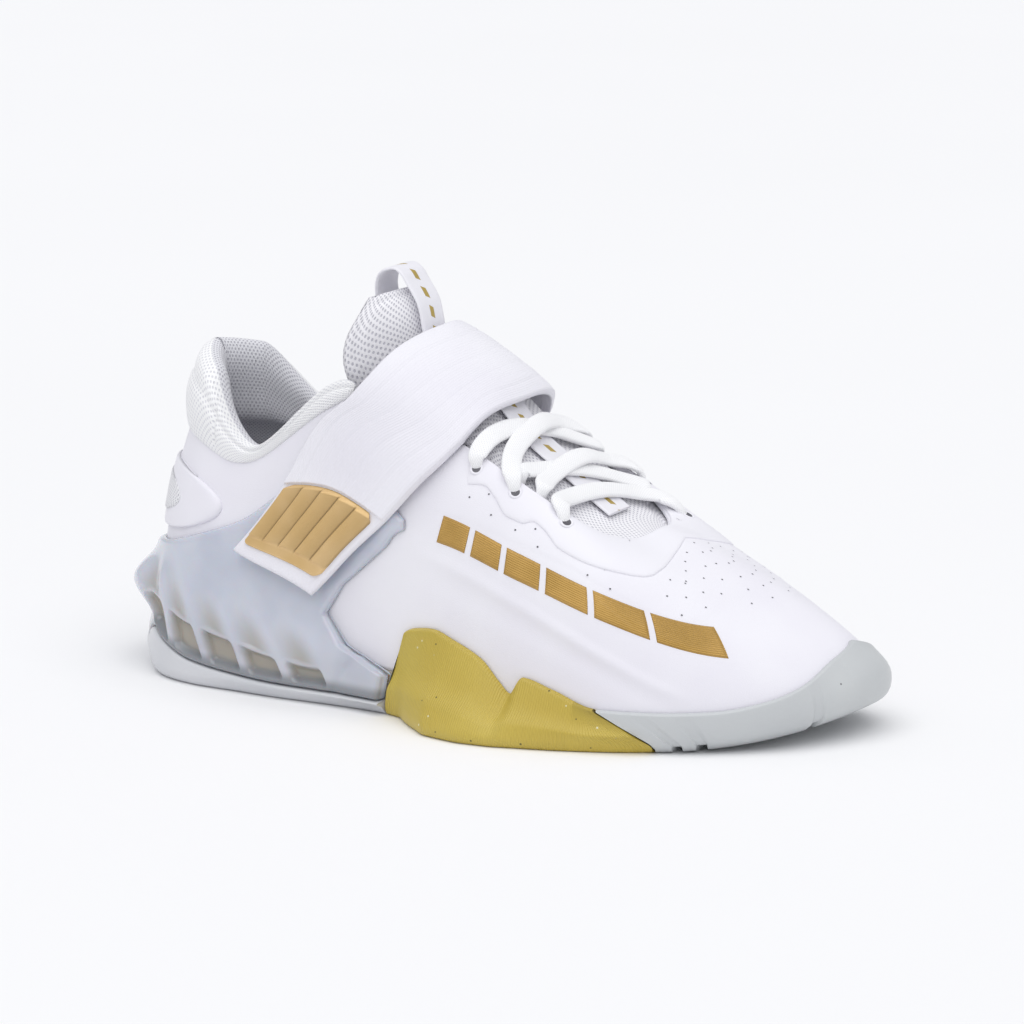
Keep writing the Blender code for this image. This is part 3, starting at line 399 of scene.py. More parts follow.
def make_tube(name, sections, finishes, section_finish=None):
    """Closed piece from a grid whose rows are closed sections: its ends are capped by ladders."""
    rows, around = sections.shape[:2]
    faces, places = quads(rows, around, close_columns=True)
    corners = grid_uv(sections, places, False, True)
    half = around // 2
    k = np.arange(half - 1)
    ladder = np.stack([k, k + 1, around - 2 - k, around - 1 - k], axis=-1)
    caps = np.concatenate([ladder, ladder[:, ::-1] + (rows - 1) * around])
    cap_uv = np.zeros((len(caps), 4, 2)) + corners[0, 0]
    faces_finish = None
    if section_finish is not None:
        faces_finish = np.concatenate([np.tile(section_finish, rows - 1), np.zeros(len(caps), int)])
    return make_piece(name, sections, np.concatenate([faces, caps]), np.concatenate([corners, cap_uv]),
                      finishes, faces_finish)


def make_layer(name, outer, inner, finish):
    """Closed sheet between an outer and an inner grid of points."""
    return make_tube(name, np.concatenate([outer, inner[:, ::-1]], axis=1), [finish])


def set_masks(piece, **masks):
    """Point attributes on a layer's outer grid, each 0 on the inner grid, for its finish to read."""
    for label, values in masks.items():
        both = np.concatenate([values, 0 * values], axis=1)
        piece.data.attributes.new(label, "FLOAT", "POINT").data.foreach_set("value", both.ravel())


# %% [markdown]
# Cloth and rubber don't end in a sharp line. A quarter circle rounds an edge, and a bell
# makes a swelling, a seam or a groove.

# %% Smooth grids and soft profiles
def smooth_grid(points, rows, columns):
    """Grid read again at finer rows and columns by Catmull-Rom curves both ways."""
    def along(values, count):
        flat = values.reshape(len(values), -1)
        return catmull(flat, np.linspace(0, len(values) - 1, count)).reshape((count,) + values.shape[1:])
    tall = along(points, rows)
    return along(tall.swapaxes(0, 1), columns).swapaxes(0, 1)


def soft_edge(place, width):
    """Rises from 0 at either end of a span to 1 in its middle: a quarter circle over a width."""
    near = np.clip(np.minimum(place, 1 - place) / width, 0.0, 1.0)
    return np.sqrt(1 - (1 - near) ** 2)


def bell(distance, width):
    """Soft bump: e to the minus the square of distance over width."""
    return np.exp(-(distance / width) ** 2)


print("share of a soft edge a third of the way in:", round(float(soft_edge(0.1, 0.3)), 2))

# %% [markdown]
# ## Finishes
#
# Coated textile, mesh knit, webbing, moulded rubber and milky plastic each have their own
# small-scale relief. A relief that several of them share is a node group, built once from
# maths on the piece's UV, which is in metres, or on Object coordinates.

# %% Node helpers
def put(tree, kind, *values, **settings):
    """New node with its settings, each input fed by a socket or set to a value."""
    node = tree.nodes.new("ShaderNode" + kind)
    for key, value in settings.items():
        setattr(node, key, value)
    for socket, value in zip(node.inputs, values):
        if isinstance(value, bpy.types.NodeSocket):
            tree.links.new(value, socket)
        elif value is not None:
            socket.default_value = value
    return node


def maths(tree, operation, *values):
    """Result of a Math node."""
    return put(tree, "Math", *values, operation=operation).outputs[0]


def vector_maths(tree, operation, *values):
    """Result of a Vector Math node: a number for a length, else a vector."""
    node = put(tree, "VectorMath", *values, operation=operation)
    return node.outputs["Value" if operation == "LENGTH" else "Vector"]


def ramp(tree, value, low, high, *ends):
    """Smooth step of a value between two limits, from 0 to 1 or between two given ends."""
    return put(tree, "MapRange", value, low, high, *ends, interpolation_type="SMOOTHSTEP").outputs[0]


def noise(tree, vector, scale, detail=None):
    """Value of a Noise Texture."""
    return put(tree, "TexNoise", vector, None, scale, detail).outputs[0]


def effect_group(name, numbers, results):
    """Empty node group with a Vector and named numbers in and named numbers out."""
    tree = bpy.data.node_groups.new(name, "ShaderNodeTree")
    tree.interface.new_socket(name="Vector", in_out="INPUT", socket_type="NodeSocketVector")
    for label, value in numbers.items():
        socket = tree.interface.new_socket(name=label, in_out="INPUT", socket_type="NodeSocketFloat")
        socket.default_value = value
    for label in results:
        tree.interface.new_socket(name=label, in_out="OUTPUT", socket_type="NodeSocketFloat")
    return tree, tree.nodes.new("NodeGroupInput").outputs, tree.nodes.new("NodeGroupOutput").inputs


# %% [markdown]
# Knit mesh is a field of small holes in staggered rows. The pattern is two square
# lattices, one half a step off the other: a point's distance to the nearer centre gives
# the hole, and the yarn between holes is the high part of the relief.

# %% Knit holes group
knit_group, given, result = effect_group("knit holes", {"Pitch": 0.0024, "Hole": 0.30}, ("Mask", "Height"))
step_size = maths(knit_group, "DIVIDE", 1.0, given["Pitch"])
scaled = vector_maths(knit_group, "SCALE", given["Vector"], None, None, step_size)
distances = []
for offset in (0.0, 0.5):
    cell = vector_maths(knit_group, "ADD", scaled, (offset, offset, 0.0))
    cell = vector_maths(knit_group, "FRACTION", cell)
    cell = vector_maths(knit_group, "SUBTRACT", cell, (0.5, 0.5, 0.0))
    cell = vector_maths(knit_group, "MULTIPLY", cell, (1.0, 0.72, 0.0))
    distances.append(vector_maths(knit_group, "LENGTH", cell))
nearest = maths(knit_group, "MINIMUM", *distances)
rim = maths(knit_group, "MULTIPLY", given["Hole"], 0.62)
hole = ramp(knit_group, nearest, rim, given["Hole"], 1.0, 0.0)
knit_group.links.new(hole, result["Mask"])
knit_group.links.new(maths(knit_group, "SUBTRACT", 1.0, hole), result["Height"])

# %% [markdown]
# Webbing and ribbed film are fine parallel ribs: a sine across the UV. A second, slower
# noise keeps the ribs from looking ruled.

# %% Ribs group
rib_group, given, result = effect_group("fine ribs", {"Pitch": 0.0008, "Waver": 0.15}, ("Height",))
parts = put(rib_group, "SeparateXYZ", given["Vector"])
wander = maths(rib_group, "MULTIPLY", noise(rib_group, given["Vector"], 90.0), given["Waver"])
turns = maths(rib_group, "ADD", maths(rib_group, "DIVIDE", parts.outputs[0], given["Pitch"]), wander)
wave = maths(rib_group, "SINE", maths(rib_group, "MULTIPLY", turns, 2 * math.pi))
rib_group.links.new(maths(rib_group, "MULTIPLY_ADD", wave, 0.5, 0.5), result["Height"])

# %% [markdown]
# Grain and cloud: every skin here has a grain of a few tenths of a millimetre and a slow
# drift of tone over centimetres, as cloth and moulded rubber do.

# %% Grain group
grain_group, given, result = effect_group(
    "grain and drift", {"Grain": 2200.0, "Drift": 28.0}, ("Height", "Drift"))
grain_group.links.new(noise(grain_group, given["Vector"], given["Grain"], 3.0), result["Height"])
slow = noise(grain_group, given["Vector"], given["Drift"])
grain_group.links.new(ramp(grain_group, slow, 0.3, 0.7), result["Drift"])

# %% [markdown]
# The rubber is made with ground scrap in it: dark and pale specks of up to a millimetre.
# A Voronoi cell becomes a speck where its random colour is high and its centre is near.

# %% Specks group
speck_group, given, result = effect_group(
    "rubber specks", {"Scale": 330.0, "Share": 0.80}, ("Dark", "Pale"))
cells = put(speck_group, "TexVoronoi", given["Vector"], None, given["Scale"])
chance = put(speck_group, "SeparateColor", cells.outputs["Color"])
near = ramp(speck_group, cells.outputs["Distance"], 0.10, 0.17, 1.0, 0.0)
for number, label in enumerate(("Dark", "Pale")):
    picked = maths(speck_group, "GREATER_THAN", chance.outputs[number], given["Share"])
    speck_group.links.new(maths(speck_group, "MULTIPLY", near, picked), result[label])
print("node groups:", [group.name for group in bpy.data.node_groups])

# %% [markdown]
# A finish starts as a Principled shader with its plain values, and takes its colour
# changes and relief from the groups. Relief goes through Bump nodes in real heights.

# %% Finish helpers
def linear(red, green, blue):
    """Linear colour of sRGB values from 0 to 255."""
    share = np.array([red, green, blue]) / 255
    found = np.where(share < 0.04045, share / 12.92, ((share + 0.055) / 1.055) ** 2.4)
    return (*[float(v) for v in found], 1.0)


def darker(colour, share):
    """A linear colour at a share of its brightness."""
    return (*[share * v for v in colour[:3]], 1.0)


class Finish:
    """A material in the making: its tree, and the Object and UV sockets its patterns read."""

    def __init__(self, name, colour, roughness, **values):
        self.material = bpy.data.materials.new(name)
        self.material.use_nodes = True
        self.tree = self.material.node_tree
        self.shader = self.tree.nodes["Principled BSDF"]
        values.update(Base_Color=colour, Roughness=roughness)
        for label, value in values.items():
            self.shader.inputs[label.replace("_", " ")].default_value = value
        coordinates = put(self.tree, "TexCoord").outputs
        self.place, self.uv = coordinates["Object"], coordinates["UV"]

    def use(self, group, vector, *values):
        """Outputs of a node group that reads a vector and takes its numbers in order."""
        return put(self.tree, "Group", vector, *values, node_tree=group).outputs

    def mask(self, name):
        """A piece's own point attribute."""
        return put(self.tree, "Attribute", attribute_name=name).outputs["Fac"]

    def tint(self, factor, first, second):
        """Colour between two, each a socket or a constant, by a mask."""
        unused = [None] * 5
        return put(self.tree, "Mix", factor, *unused, first, second, data_type="RGBA").outputs[2]

    def done(self, colour, *layers):
        """The material, with its colour and a chain of bumps, each of a height and its depth in metres."""
        self.tree.links.new(colour, self.shader.inputs["Base Color"])
        normal = None
        for height, depth in layers:
            bump = put(self.tree, "Bump")
            bump.inputs["Distance"].default_value = depth
            self.tree.links.new(height, bump.inputs["Height"])
            if normal:
                self.tree.links.new(normal, bump.inputs["Normal"])
            normal = bump.outputs[0]
        if normal:
            self.tree.links.new(normal, self.shader.inputs["Normal"])
        return self.material


def grained(name, colour, other, roughness, grain, drift, depth, **values):
    """Finish with a fine grain as its relief and a slow drift between two colours."""
    finish = Finish(name, colour, roughness, **values)
    skin_of = finish.use(grain_group, finish.place, grain, drift)
    return finish.done(finish.tint(skin_of["Drift"], colour, other), (skin_of["Height"], depth))


# %% [markdown]
# White coated textile for the upper: nearly smooth, with a short nap and a faint drift
# between a warm and a cool white. Its overlays are the same cloth with a little more gloss.
# Foam and the shade inside the holes have the same grain at other scales.

# %% Plain finishes
WHITE = linear(240, 239, 245)
SHADE_WHITE = linear(234, 232, 240)
UPPER_WHITE = grained("upper white textile", WHITE, SHADE_WHITE, 0.62, 2600.0, 22.0, 0.00006,
                      Sheen_Weight=0.15, Specular_IOR_Level=0.35)
OVERLAY_WHITE = grained("fused overlay white", WHITE, SHADE_WHITE, 0.48, 1800.0, 22.0, 0.00003,
                        Sheen_Weight=0.05, Specular_IOR_Level=0.35)
FOAM = grained("tan foam core", linear(200, 190, 172), linear(188, 178, 160), 0.8, 1400.0, 30.0, 0.0003)
HOLE_SHADE = grained("hole shade", linear(92, 91, 97), linear(112, 111, 116), 0.9, 3000.0, 60.0, 0.00005)
print("plain finishes:", [m.name for m in (UPPER_WHITE, OVERLAY_WHITE, FOAM, HOLE_SHADE)])

# %% Knit mesh, lining and webbing finishes
def knit_finish(name, colour, hole_shade_colour, pitch, hole, depth):
    """Mesh knit: the holes are a darker colour, painted shade inside them, and the yarn stands proud of
    them.
    """
    finish = Finish(name, colour, 0.8, Sheen_Weight=0.25, Specular_IOR_Level=0.25)
    knit = finish.use(knit_group, finish.uv, pitch, hole)
    yarn = finish.use(grain_group, finish.place, 3200.0, 30.0)
    cloth = finish.tint(yarn["Drift"], colour, darker(colour, 0.95))
    return finish.done(finish.tint(knit["Mask"], cloth, hole_shade_colour),
                       (knit["Height"], depth), (yarn["Height"], 0.0001))


COLLAR_KNIT, TONGUE_KNIT, LINING_KNIT, PATCH_KNIT = (
    knit_finish(name, linear(*yarn), linear(*hole), *sizes) for name, yarn, hole, sizes in (
        # name, yarn's colour, painted shade in the holes, (pitch, hole as a share of it, depth)
        ("collar mesh knit", (254, 254, 255), (226, 226, 232), (0.0021, 0.18, 0.00020)),
        ("tongue mesh knit", (250, 249, 253), (200, 199, 208), (0.0022, 0.20, 0.00015)),
        ("lining knit", (232, 232, 237), (188, 187, 196), (0.0017, 0.20, 0.0002)),
        ("heel patch knit", (246, 246, 249), (200, 199, 207), (0.0021, 0.19, 0.0003)),
    ))

webbing = Finish("strap webbing", WHITE, 0.6, Sheen_Weight=0.15, Specular_IOR_Level=0.3)
ribs = webbing.use(rib_group, webbing.uv, 0.0011, 0.25)
weave = webbing.use(grain_group, webbing.place, 3000.0, 20.0)
STRAP_WEB = webbing.done(webbing.tint(weave["Drift"], WHITE, SHADE_WHITE),
                         (ribs["Height"], 0.00006), (weave["Height"], 0.00006))

cord = Finish("lace weave", linear(252, 252, 253), 0.75, Sheen_Weight=0.3)
weave = cord.use(knit_group, cord.uv, 0.0012, 0.22)
# Painted shade: the gaps of the weave are a little darker than its yarn.
LACE_WEAVE = cord.done(cord.tint(weave["Mask"], linear(252, 252, 253), linear(242, 242, 245)),
                       (weave["Height"], 0.00008))
print("cloths:", [m.name for m in (COLLAR_KNIT, TONGUE_KNIT, LINING_KNIT, PATCH_KNIT)],
      STRAP_WEB.name, "/", LACE_WEAVE.name)

# %% [markdown]
# The pull loop's webbing carries a row of woven gold dashes up its middle. The dash is a
# window in the UV: near the middle across, and the first part of each repeat along.

# %% Pull loop webbing finish
DASH_PITCH = 0.0075
DASH_SHARE = 0.55
DASH_WIDTH = 0.0026
DASH_LEAN = 0.5
LOOP_GOLD = linear(176, 150, 62)

webbing = Finish("loop webbing", WHITE, 0.6, Sheen_Weight=0.15)
tree = webbing.tree
parts = put(tree, "SeparateXYZ", webbing.uv)
across = maths(tree, "ABSOLUTE", maths(tree, "SUBTRACT", parts.outputs[0], 0.5 * WEBBING_WIDTH))
inside = ramp(tree, across, 0.45 * DASH_WIDTH, 0.55 * DASH_WIDTH, 1.0, 0.0)
slanted = maths(tree, "ADD", parts.outputs[1], maths(tree, "MULTIPLY", parts.outputs[0], DASH_LEAN))
repeat = maths(tree, "FRACT", maths(tree, "DIVIDE", slanted, DASH_PITCH))
dash = maths(tree, "MULTIPLY", inside, maths(tree, "LESS_THAN", repeat, DASH_SHARE))
ribs = webbing.use(rib_group, webbing.uv, 0.0009, 0.1)
LOOP_WEB = webbing.done(webbing.tint(dash, WHITE, LOOP_GOLD), (ribs["Height"], 0.0001), (dash, 0.0001))
print("dashes to 100 mm of loop:", round(0.1 / DASH_PITCH))

# %% Gold finishes
def gold_finish(name, colour, bright, metallic, pitch, depth):
    """Satin gold: metallic base, fine ribs, a slow drift between two golds, and painted shade in the
    grooves.
    """
    finish = Finish(name, colour, 0.40, Metallic=metallic, Coat_Weight=0.15)
    ribs = finish.use(rib_group, finish.uv, pitch, 0.5)
    grain = finish.use(grain_group, finish.place, 2400.0, 60.0)
    gold = finish.tint(grain["Drift"], colour, bright)
    # The groove attribute paints shade: there the gold darkens to 0.42 of its brightness.
    return finish.done(finish.tint(finish.mask("groove"), gold, darker(colour, 0.42)),
                       (ribs["Height"], depth), (grain["Height"], 0.00005))


TAB_GOLD = gold_finish("strap tab gold", linear(214, 178, 118), linear(226, 192, 138),
                       0.30, 0.0006, 0.00003)
MARK_GOLD = gold_finish("side mark gold", linear(176, 138, 66), linear(192, 152, 80),
                        0.45, 0.0008, 0.00014)
print("golds:", TAB_GOLD.name, "/", MARK_GOLD.name)

# %% [markdown]
# Rubber: the outrigger is mustard with knurled ribs, the forefoot and heel pale grey and
# glossier. Specks are painted in, and a slow drift keeps the big faces from looking flat.

# %% Rubber finishes
def rubber_finish(name, colour, shade, roughness, coat, share, rib_depth):
    """Moulded rubber: grain, fine ribs and two kinds of specks where a cell's chance is over a share."""
    finish = Finish(name, colour, roughness, Coat_Weight=coat, Coat_Roughness=0.25)
    grain = finish.use(grain_group, finish.place, 1500.0, 26.0)
    specks = finish.use(speck_group, finish.place, 330.0, share)
    ribs = finish.use(rib_group, finish.uv, 0.00095, 0.0)
    body = finish.tint(grain["Drift"], colour, shade)
    body = finish.tint(specks["Dark"], body, darker(colour, 0.25))
    return finish.done(finish.tint(specks["Pale"], body, linear(232, 226, 190)),
                       (grain["Height"], 0.00006), (ribs["Height"], rib_depth))


YELLOW_RUBBER, GREY_RUBBER, HEEL_RUBBER = (
    rubber_finish(name, linear(*colour), linear(*shade), *values) for name, colour, shade, values in (
        # name, two colours, (roughness, coat, share of cells without a speck, depth of the ribs)
        ("outrigger rubber", (204, 182, 82), (195, 171, 70), (0.45, 0.12, 0.90, 0.00018)),
        ("forefoot rubber", (202, 205, 206), (194, 197, 199), (0.42, 0.15, 0.985, 0.00001)),
        ("heel rubber", (212, 213, 217), (203, 205, 210), (0.28, 0.4, 0.99, 0.00001)),
    ))
print("rubbers:", [m.name for m in (YELLOW_RUBBER, GREY_RUBBER, HEEL_RUBBER)])

# %% [markdown]
# The heel cage is milky plastic a few millimetres thick with the tan foam core close
# behind it. Two point attributes of the piece mix its colours: core, where a pocket lets
# the foam show and where painted shade darkens the troughs, the hollow under the lip and a
# band low on the back; and low, a darker grey along the lower edge.

# %% Cage finish
plastic = Finish("milky cage plastic", linear(208, 212, 223), 0.22, Coat_Weight=0.65, Coat_Roughness=0.08,
                 Subsurface_Weight=0.25, Subsurface_Scale=0.004, IOR=1.5)
grain = plastic.use(grain_group, plastic.place, 900.0, 45.0)
milk = plastic.tint(grain["Drift"], linear(203, 207, 219), linear(192, 197, 211))
# core carries the tan foam seen in the pockets, and painted shade in the troughs and hollows.
seen_foam_and_shade = plastic.tint(plastic.mask("core"), milk, linear(166, 159, 147))
CAGE_PLASTIC = plastic.done(plastic.tint(plastic.mask("low"), seen_foam_and_shade, linear(132, 136, 142)),
                            (grain["Height"], 0.00004))
print("cage:", CAGE_PLASTIC.name)

# %% [markdown]
# ## Upper
#
# The upper is one wall of coated textile over the whole last. Its profile runs up the
# outside, rolls over the edge and comes down inside as lining. A long crease runs from
# the strap down to the sole on both sides: a soft ridge with a trough under it, placed by
# a short table, as the fused layers give when the last is pulled out.

# %% Upper
CREASE = (
    # station, share of the rib where the crease runs, height of its ridge
    (2.2, 0.14, 0.0),
    (2.6, 0.19, 0.0005),
    (3.13, 0.27, 0.0007),
    (4.06, 0.36, 0.0006),
    (4.77, 0.39, 0.0005),
    (5.39, 0.42, 0.0),
)
# station, share of the rib where the vamp's fused layer ends
VAMP_STEP = ((0.0, 0.62), (1.0, 0.60), (2.0, 0.52), (2.8, 0.60), (3.4, 0.64), (4.6, 0.62), (5.4, 0.60))
STEP_RISE = 0.00018
UPPER_GRID = (24, 84)
INNER_EVERY = 6


def wall_lift(rings, shares):
    """Crease plus a faint step where the vamp's fused layer ends.

    The crease is a bell along its line less a wider bell below it.
    """
    station = np.minimum(rings, RINGS - rings)
    line, height = column(CREASE, station, 1), column(CREASE, station, 2)
    ridge = bell(shares - line, 0.030) - 0.6 * bell(shares - line + 0.075, 0.045)
    step = 0.5 + 0.5 * np.tanh((shares - column(VAMP_STEP, station, 1)) / 0.008)
    front = np.clip((5.4 - station) / 0.6, 0.0, 1.0)
    return height * ridge + STEP_RISE * step * front


rings = np.arange(0, RINGS, 1 / UPPER_GRID[0])[:, None]
shares = np.linspace(0.0, 1.0, UPPER_GRID[1])[None, :]
outer = skin(rings, shares, wall_lift(rings, shares))
turn = np.linspace(0.0, math.pi, 7)[None, 1:-1]
edge_roll = skin(rings, 1.0 + 0.010 * np.sin(turn), -0.5 * WALL * (1 - np.cos(turn)))
inner = skin(rings, shares[:, ::-INNER_EVERY], -WALL)
bottom = skin(rings, 0.0 * shares[:, :1], -0.5 * WALL)
profile = np.concatenate([outer, edge_roll, inner, bottom], axis=1)
faces, places = quads(profile.shape[0], profile.shape[1], close_rows=True, close_columns=True)
corners = grid_uv(profile, places, True, True)
lined = (places[:, 0, 1] >= outer.shape[1] + 3).astype(int)
upper = make_piece("upper_wall", profile, faces, corners, (UPPER_WHITE, LINING_KNIT), lined)
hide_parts("upper")
print("upper faces:", len(upper.data.polygons))

# %% [markdown]
# ## Band round the throat
#
# A scalloped band of fused film carries the eyelets. Its lower edge dips round each one.
# The band is thin, with rounded edges, so its edge catches a fine line of light.

# %% Eyestay
LATERAL_EYELETS = (3.02, 3.90, 4.62)
MEDIAL_EYELETS = (2.15, 3.25, 4.20)
EYELET_ARC = 0.90
BAND_EDGE = (
    # station, share of the rib at the band's lower edge
    (0.00, 0.895),
    (0.80, 0.850),
    (1.50, 0.785),
    (2.00, 0.730),
    (2.40, 0.710),
    (3.00, 0.690),
    (3.38, 0.705),
    (3.54, 0.770),
    (3.66, 0.785),
    (3.90, 0.740),
    (4.12, 0.735),
    (4.30, 0.800),
    (4.45, 0.830),
    (4.75, 0.790),
)
FILM_RISE = 0.0006

signed = np.linspace(-BAND_EDGE[-1][0], BAND_EDGE[-1][0], 560)[:, None]
lower = column(BAND_EDGE, np.abs(signed), 1)
level = np.linspace(0.0, 1.0, 34)[None, :]
round_off = soft_edge(level, 0.16) * soft_edge(np.linspace(0.0, 1.0, len(signed))[:, None], 0.02)
band_shares = lower + (1.004 - lower) * level
outer = skin(-signed, band_shares, GAP + FILM_RISE * (0.1 + 0.9 * round_off))
inner = skin(-signed, band_shares, 0.3 * GAP)
eyestay = make_layer("throat_band", outer, inner, OVERLAY_WHITE)
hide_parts("eyestay")
print("throat band faces:", len(eyestay.data.polygons))

# %% [markdown]
# ## Punched holes
#
# The eyelets, the small holes in threes below them and the fan of holes over the toe are
# all the same form: a shallow dish with a rim rolled into the film. Each is a few faces.

# %% Punched holes
PINHOLE = 0.00042
EYELET_RIM = 0.5 / 0.35
CLUSTERS = (
    # station, share of the rib
    (4.71, 0.73), (4.40, 0.80), (4.37, 0.70),
    (4.00, 0.69), (3.68, 0.75), (3.70, 0.66),
    (3.05, 0.63), (2.72, 0.70), (2.78, 0.60),
)
TOE_FAN = (
    # station, share of the rib
    (1.56, 0.73), (1.90, 0.64), (1.34, 0.71), (1.59, 0.64), (1.89, 0.55),
    (0.48, 0.84), (0.76, 0.81), (1.01, 0.77), (1.28, 0.72),
    (0.21, 0.81), (0.56, 0.76), (0.87, 0.72), (1.20, 0.66), (1.42, 0.59),
    (0.00, 0.86), (0.00, 0.80), (0.33, 0.75), (0.62, 0.69), (0.92, 0.64),
    (0.10, 0.73), (0.29, 0.67), (0.46, 0.62), (0.66, 0.57),
    (0.00, 0.66), (0.14, 0.61), (0.28, 0.56),
)


DISH = (
    # share of the radius, rise as a share of the radius
    (1.45, 0.0),
    (1.30, 0.10),
    (1.08, 0.12),
    (0.92, 0.02),
    (0.60, 0.015),
    (0.05, 0.012),
)
DISH_POINTS = 14
SHADED_FROM = 3


def punch(name, centres, normals, radius, steepness=1.0):
    """Dishes at centres: rings of points at a radius and a rise along the normal.

    The first rings are the rim in the overlay's white, the rest the shade inside.
    """
    side_way = unit(np.cross(normals, np.array([1.0, 0.3, 0.0])))
    other = np.cross(normals, side_way)
    around = np.linspace(0.0, 2 * math.pi, DISH_POINTS + 1)[:-1]
    circle = np.cos(around)[:, None] * side_way[:, None, :] + np.sin(around)[:, None] * other[:, None, :]
    rows = [centres[:, None, :] + circle * radius * out + normals[:, None, :] * radius * rise * steepness
            for out, rise in DISH]
    points = np.stack(rows, axis=1)
    faces, places = quads(len(DISH), DISH_POINTS, close_columns=True)
    count = len(DISH) * DISH_POINTS
    all_faces = np.concatenate([faces + k * count for k in range(len(centres))])
    corners = np.tile(places[None].astype(float) * 0.0004, (len(centres), 1, 1, 1)).reshape(-1, 4, 2)
    index = np.tile((places[:, 0, 0] >= SHADED_FROM).astype(int), len(centres))
    a, b, c = (points.reshape(-1, 3)[all_faces[0, k]] for k in range(3))
    if np.dot(np.cross(b - a, c - a), normals[0]) < 0:
        all_faces, corners = all_faces[:, ::-1], corners[:, ::-1]
    return add_mesh(name, points.reshape(-1, 3) + SHIFT, all_faces, corners,
                    (OVERLAY_WHITE, HOLE_SHADE), index)


def both_sides(table):
    """Ring numbers and shares of a table's places on the outer and then the inner side."""
    data = np.array(table)
    rings = np.concatenate([data[:, 0], RINGS - data[data[:, 0] > 0, 0]])
    return rings, np.concatenate([data[:, 1], data[data[:, 0] > 0, 1]])


rings, shares = both_sides(CLUSTERS + TOE_FAN)
centres = skin(rings, shares, wall_lift(rings, shares) + 0.00003)
holes = punch("punched_holes", centres, rib_normal(rings, shares), PINHOLE)

rings = np.concatenate([LATERAL_EYELETS, RINGS - np.array(MEDIAL_EYELETS)])
centres = skin(rings, EYELET_ARC, GAP + FILM_RISE)
eyelets = punch("eyelets", centres, rib_normal(rings, EYELET_ARC), 0.5 * EYELET, EYELET_RIM)
print("holes:", len(CLUSTERS) + len(TOE_FAN), "a side; eyelets:", len(rings))

# %% [markdown]
# ## Side band
#
# A plain gold band runs from the toe up to the strap on each side. Slanted gaps cut it into
# six bars of one height. Each bar is a thin film with ribs along it, laid on the upper wall.

# %% Side band
BAND = (
    # station, lower share, upper share
    (1.55, 0.345, 0.500),
    (2.45, 0.398, 0.541),
    (3.13, 0.432, 0.565),
    (3.86, 0.457, 0.583),
    (4.68, 0.470, 0.592),
    (5.25, 0.482, 0.602),
)
BAND_CUTS = (1.55, 2.42, 3.12, 3.70, 4.22, 4.68, 5.10)
BAND_GAP = 0.075
BAND_LEAN = 0.55
BAND_FILM = 0.0005
LEAN_ROUNDS = 4

for hand, side_name in ((-1, "outer"), (1, "inner")):
    for number, (front, rear) in enumerate(zip(BAND_CUTS[:-1], BAND_CUTS[1:])):
        t = np.linspace(0.0, 1.0, 40)[:, None]
        s = np.linspace(0.0, 1.0, 16)[None, :]
        flat_station = front + BAND_GAP / 2 + (rear - front - BAND_GAP) * t
        station = flat_station + 0 * s
        for _ in range(LEAN_ROUNDS):
            low, high = column(BAND, station, 1), column(BAND, station, 2)
            share = low + (high - low) * s
            station = flat_station - BAND_LEAN * (share - 0.5 * (low + high))
        place = ring_of(station, hand)
        film = 0.00002 + BAND_FILM * soft_edge(t, 0.06) * soft_edge(s, 0.12)
        outer = skin(place, share, wall_lift(place, share) + film)
        inner = skin(place, share, wall_lift(place, share) - 0.0003)
        mark = make_layer("side_band_%s_%d" % (side_name, number + 1), outer, inner, MARK_GOLD)
print("side band pieces:", 2 * (len(BAND_CUTS) - 1))

# %% [markdown]
# ## Collar
#
# The collar is a fat roll of foam in mesh knit that stands on the upper's edge and
# overhangs inside. It was made as one profile carried round the heel, read from a table of
# rise, lean, bulge and depth. It is slimmer at its two low points. A groove is pressed in
# where the side panels meet the heel pad, and a roll runs along the rim.

# %% Collar
COLLAR = (
    # ring, rise (of COLLAR_HEIGHT), lean in at the top, bulge out, depth (of BALL_WIDTH)
    (6.00, 0.061, 0.030, 0.002, 0.035),
    (6.3, 0.087, 0.020, 0.010, 0.050),
    (6.75, 0.083, 0.010, 0.014, 0.069),
    (7.0, 0.078, 0.010, 0.016, 0.084),
    (7.35, 0.122, 0.010, 0.020, 0.089),
    (8.0, 0.235, 0.025, 0.028, 0.094),
    (9.0, 0.270, 0.060, 0.026, 0.094),
    (10.0, 0.253, 0.030, 0.028, 0.094),
    (10.6, 0.174, 0.010, 0.022, 0.089),
    (11.0, 0.113, 0.010, 0.016, 0.084),
    (11.3, 0.087, 0.010, 0.014, 0.069),
    (11.75, 0.087, 0.020, 0.010, 0.050),
    (12.00, 0.061, 0.030, 0.002, 0.035),
)
COLLAR_SECTION = (
    # share of depth inward, share of rise, share of bulge, share of lean
    (0.0, -0.05, 0.05, 0.0),
    (0.0, 0.3, 0.9, 0.1),
    (0.0, 0.6, 1.0, 0.45),
    (0.05, 0.88, 0.5, 0.9),
    (0.30, 1.0, 0.0, 1.0),
    (0.70, 0.97, 0.0, 1.0),
    (0.95, 0.75, 0.0, 0.9),
    (1.0, 0.4, 0.0, 0.4),
    (0.9, 0.0, 0.0, 0.0),
)
SEAMS = (7.62, 10.38)
SEAM_HALF = 0.030
SEAM_DEPTH = 0.0016
COLLAR_POINTS = 60
LINING_POINTS = (27, 56)
DIPS = (6.85, 11.15)
DIP_HALF = 0.45
DIP_SLIM = 0.45
ROLL_PLACE = 20
ROLL_RISE = 0.0008

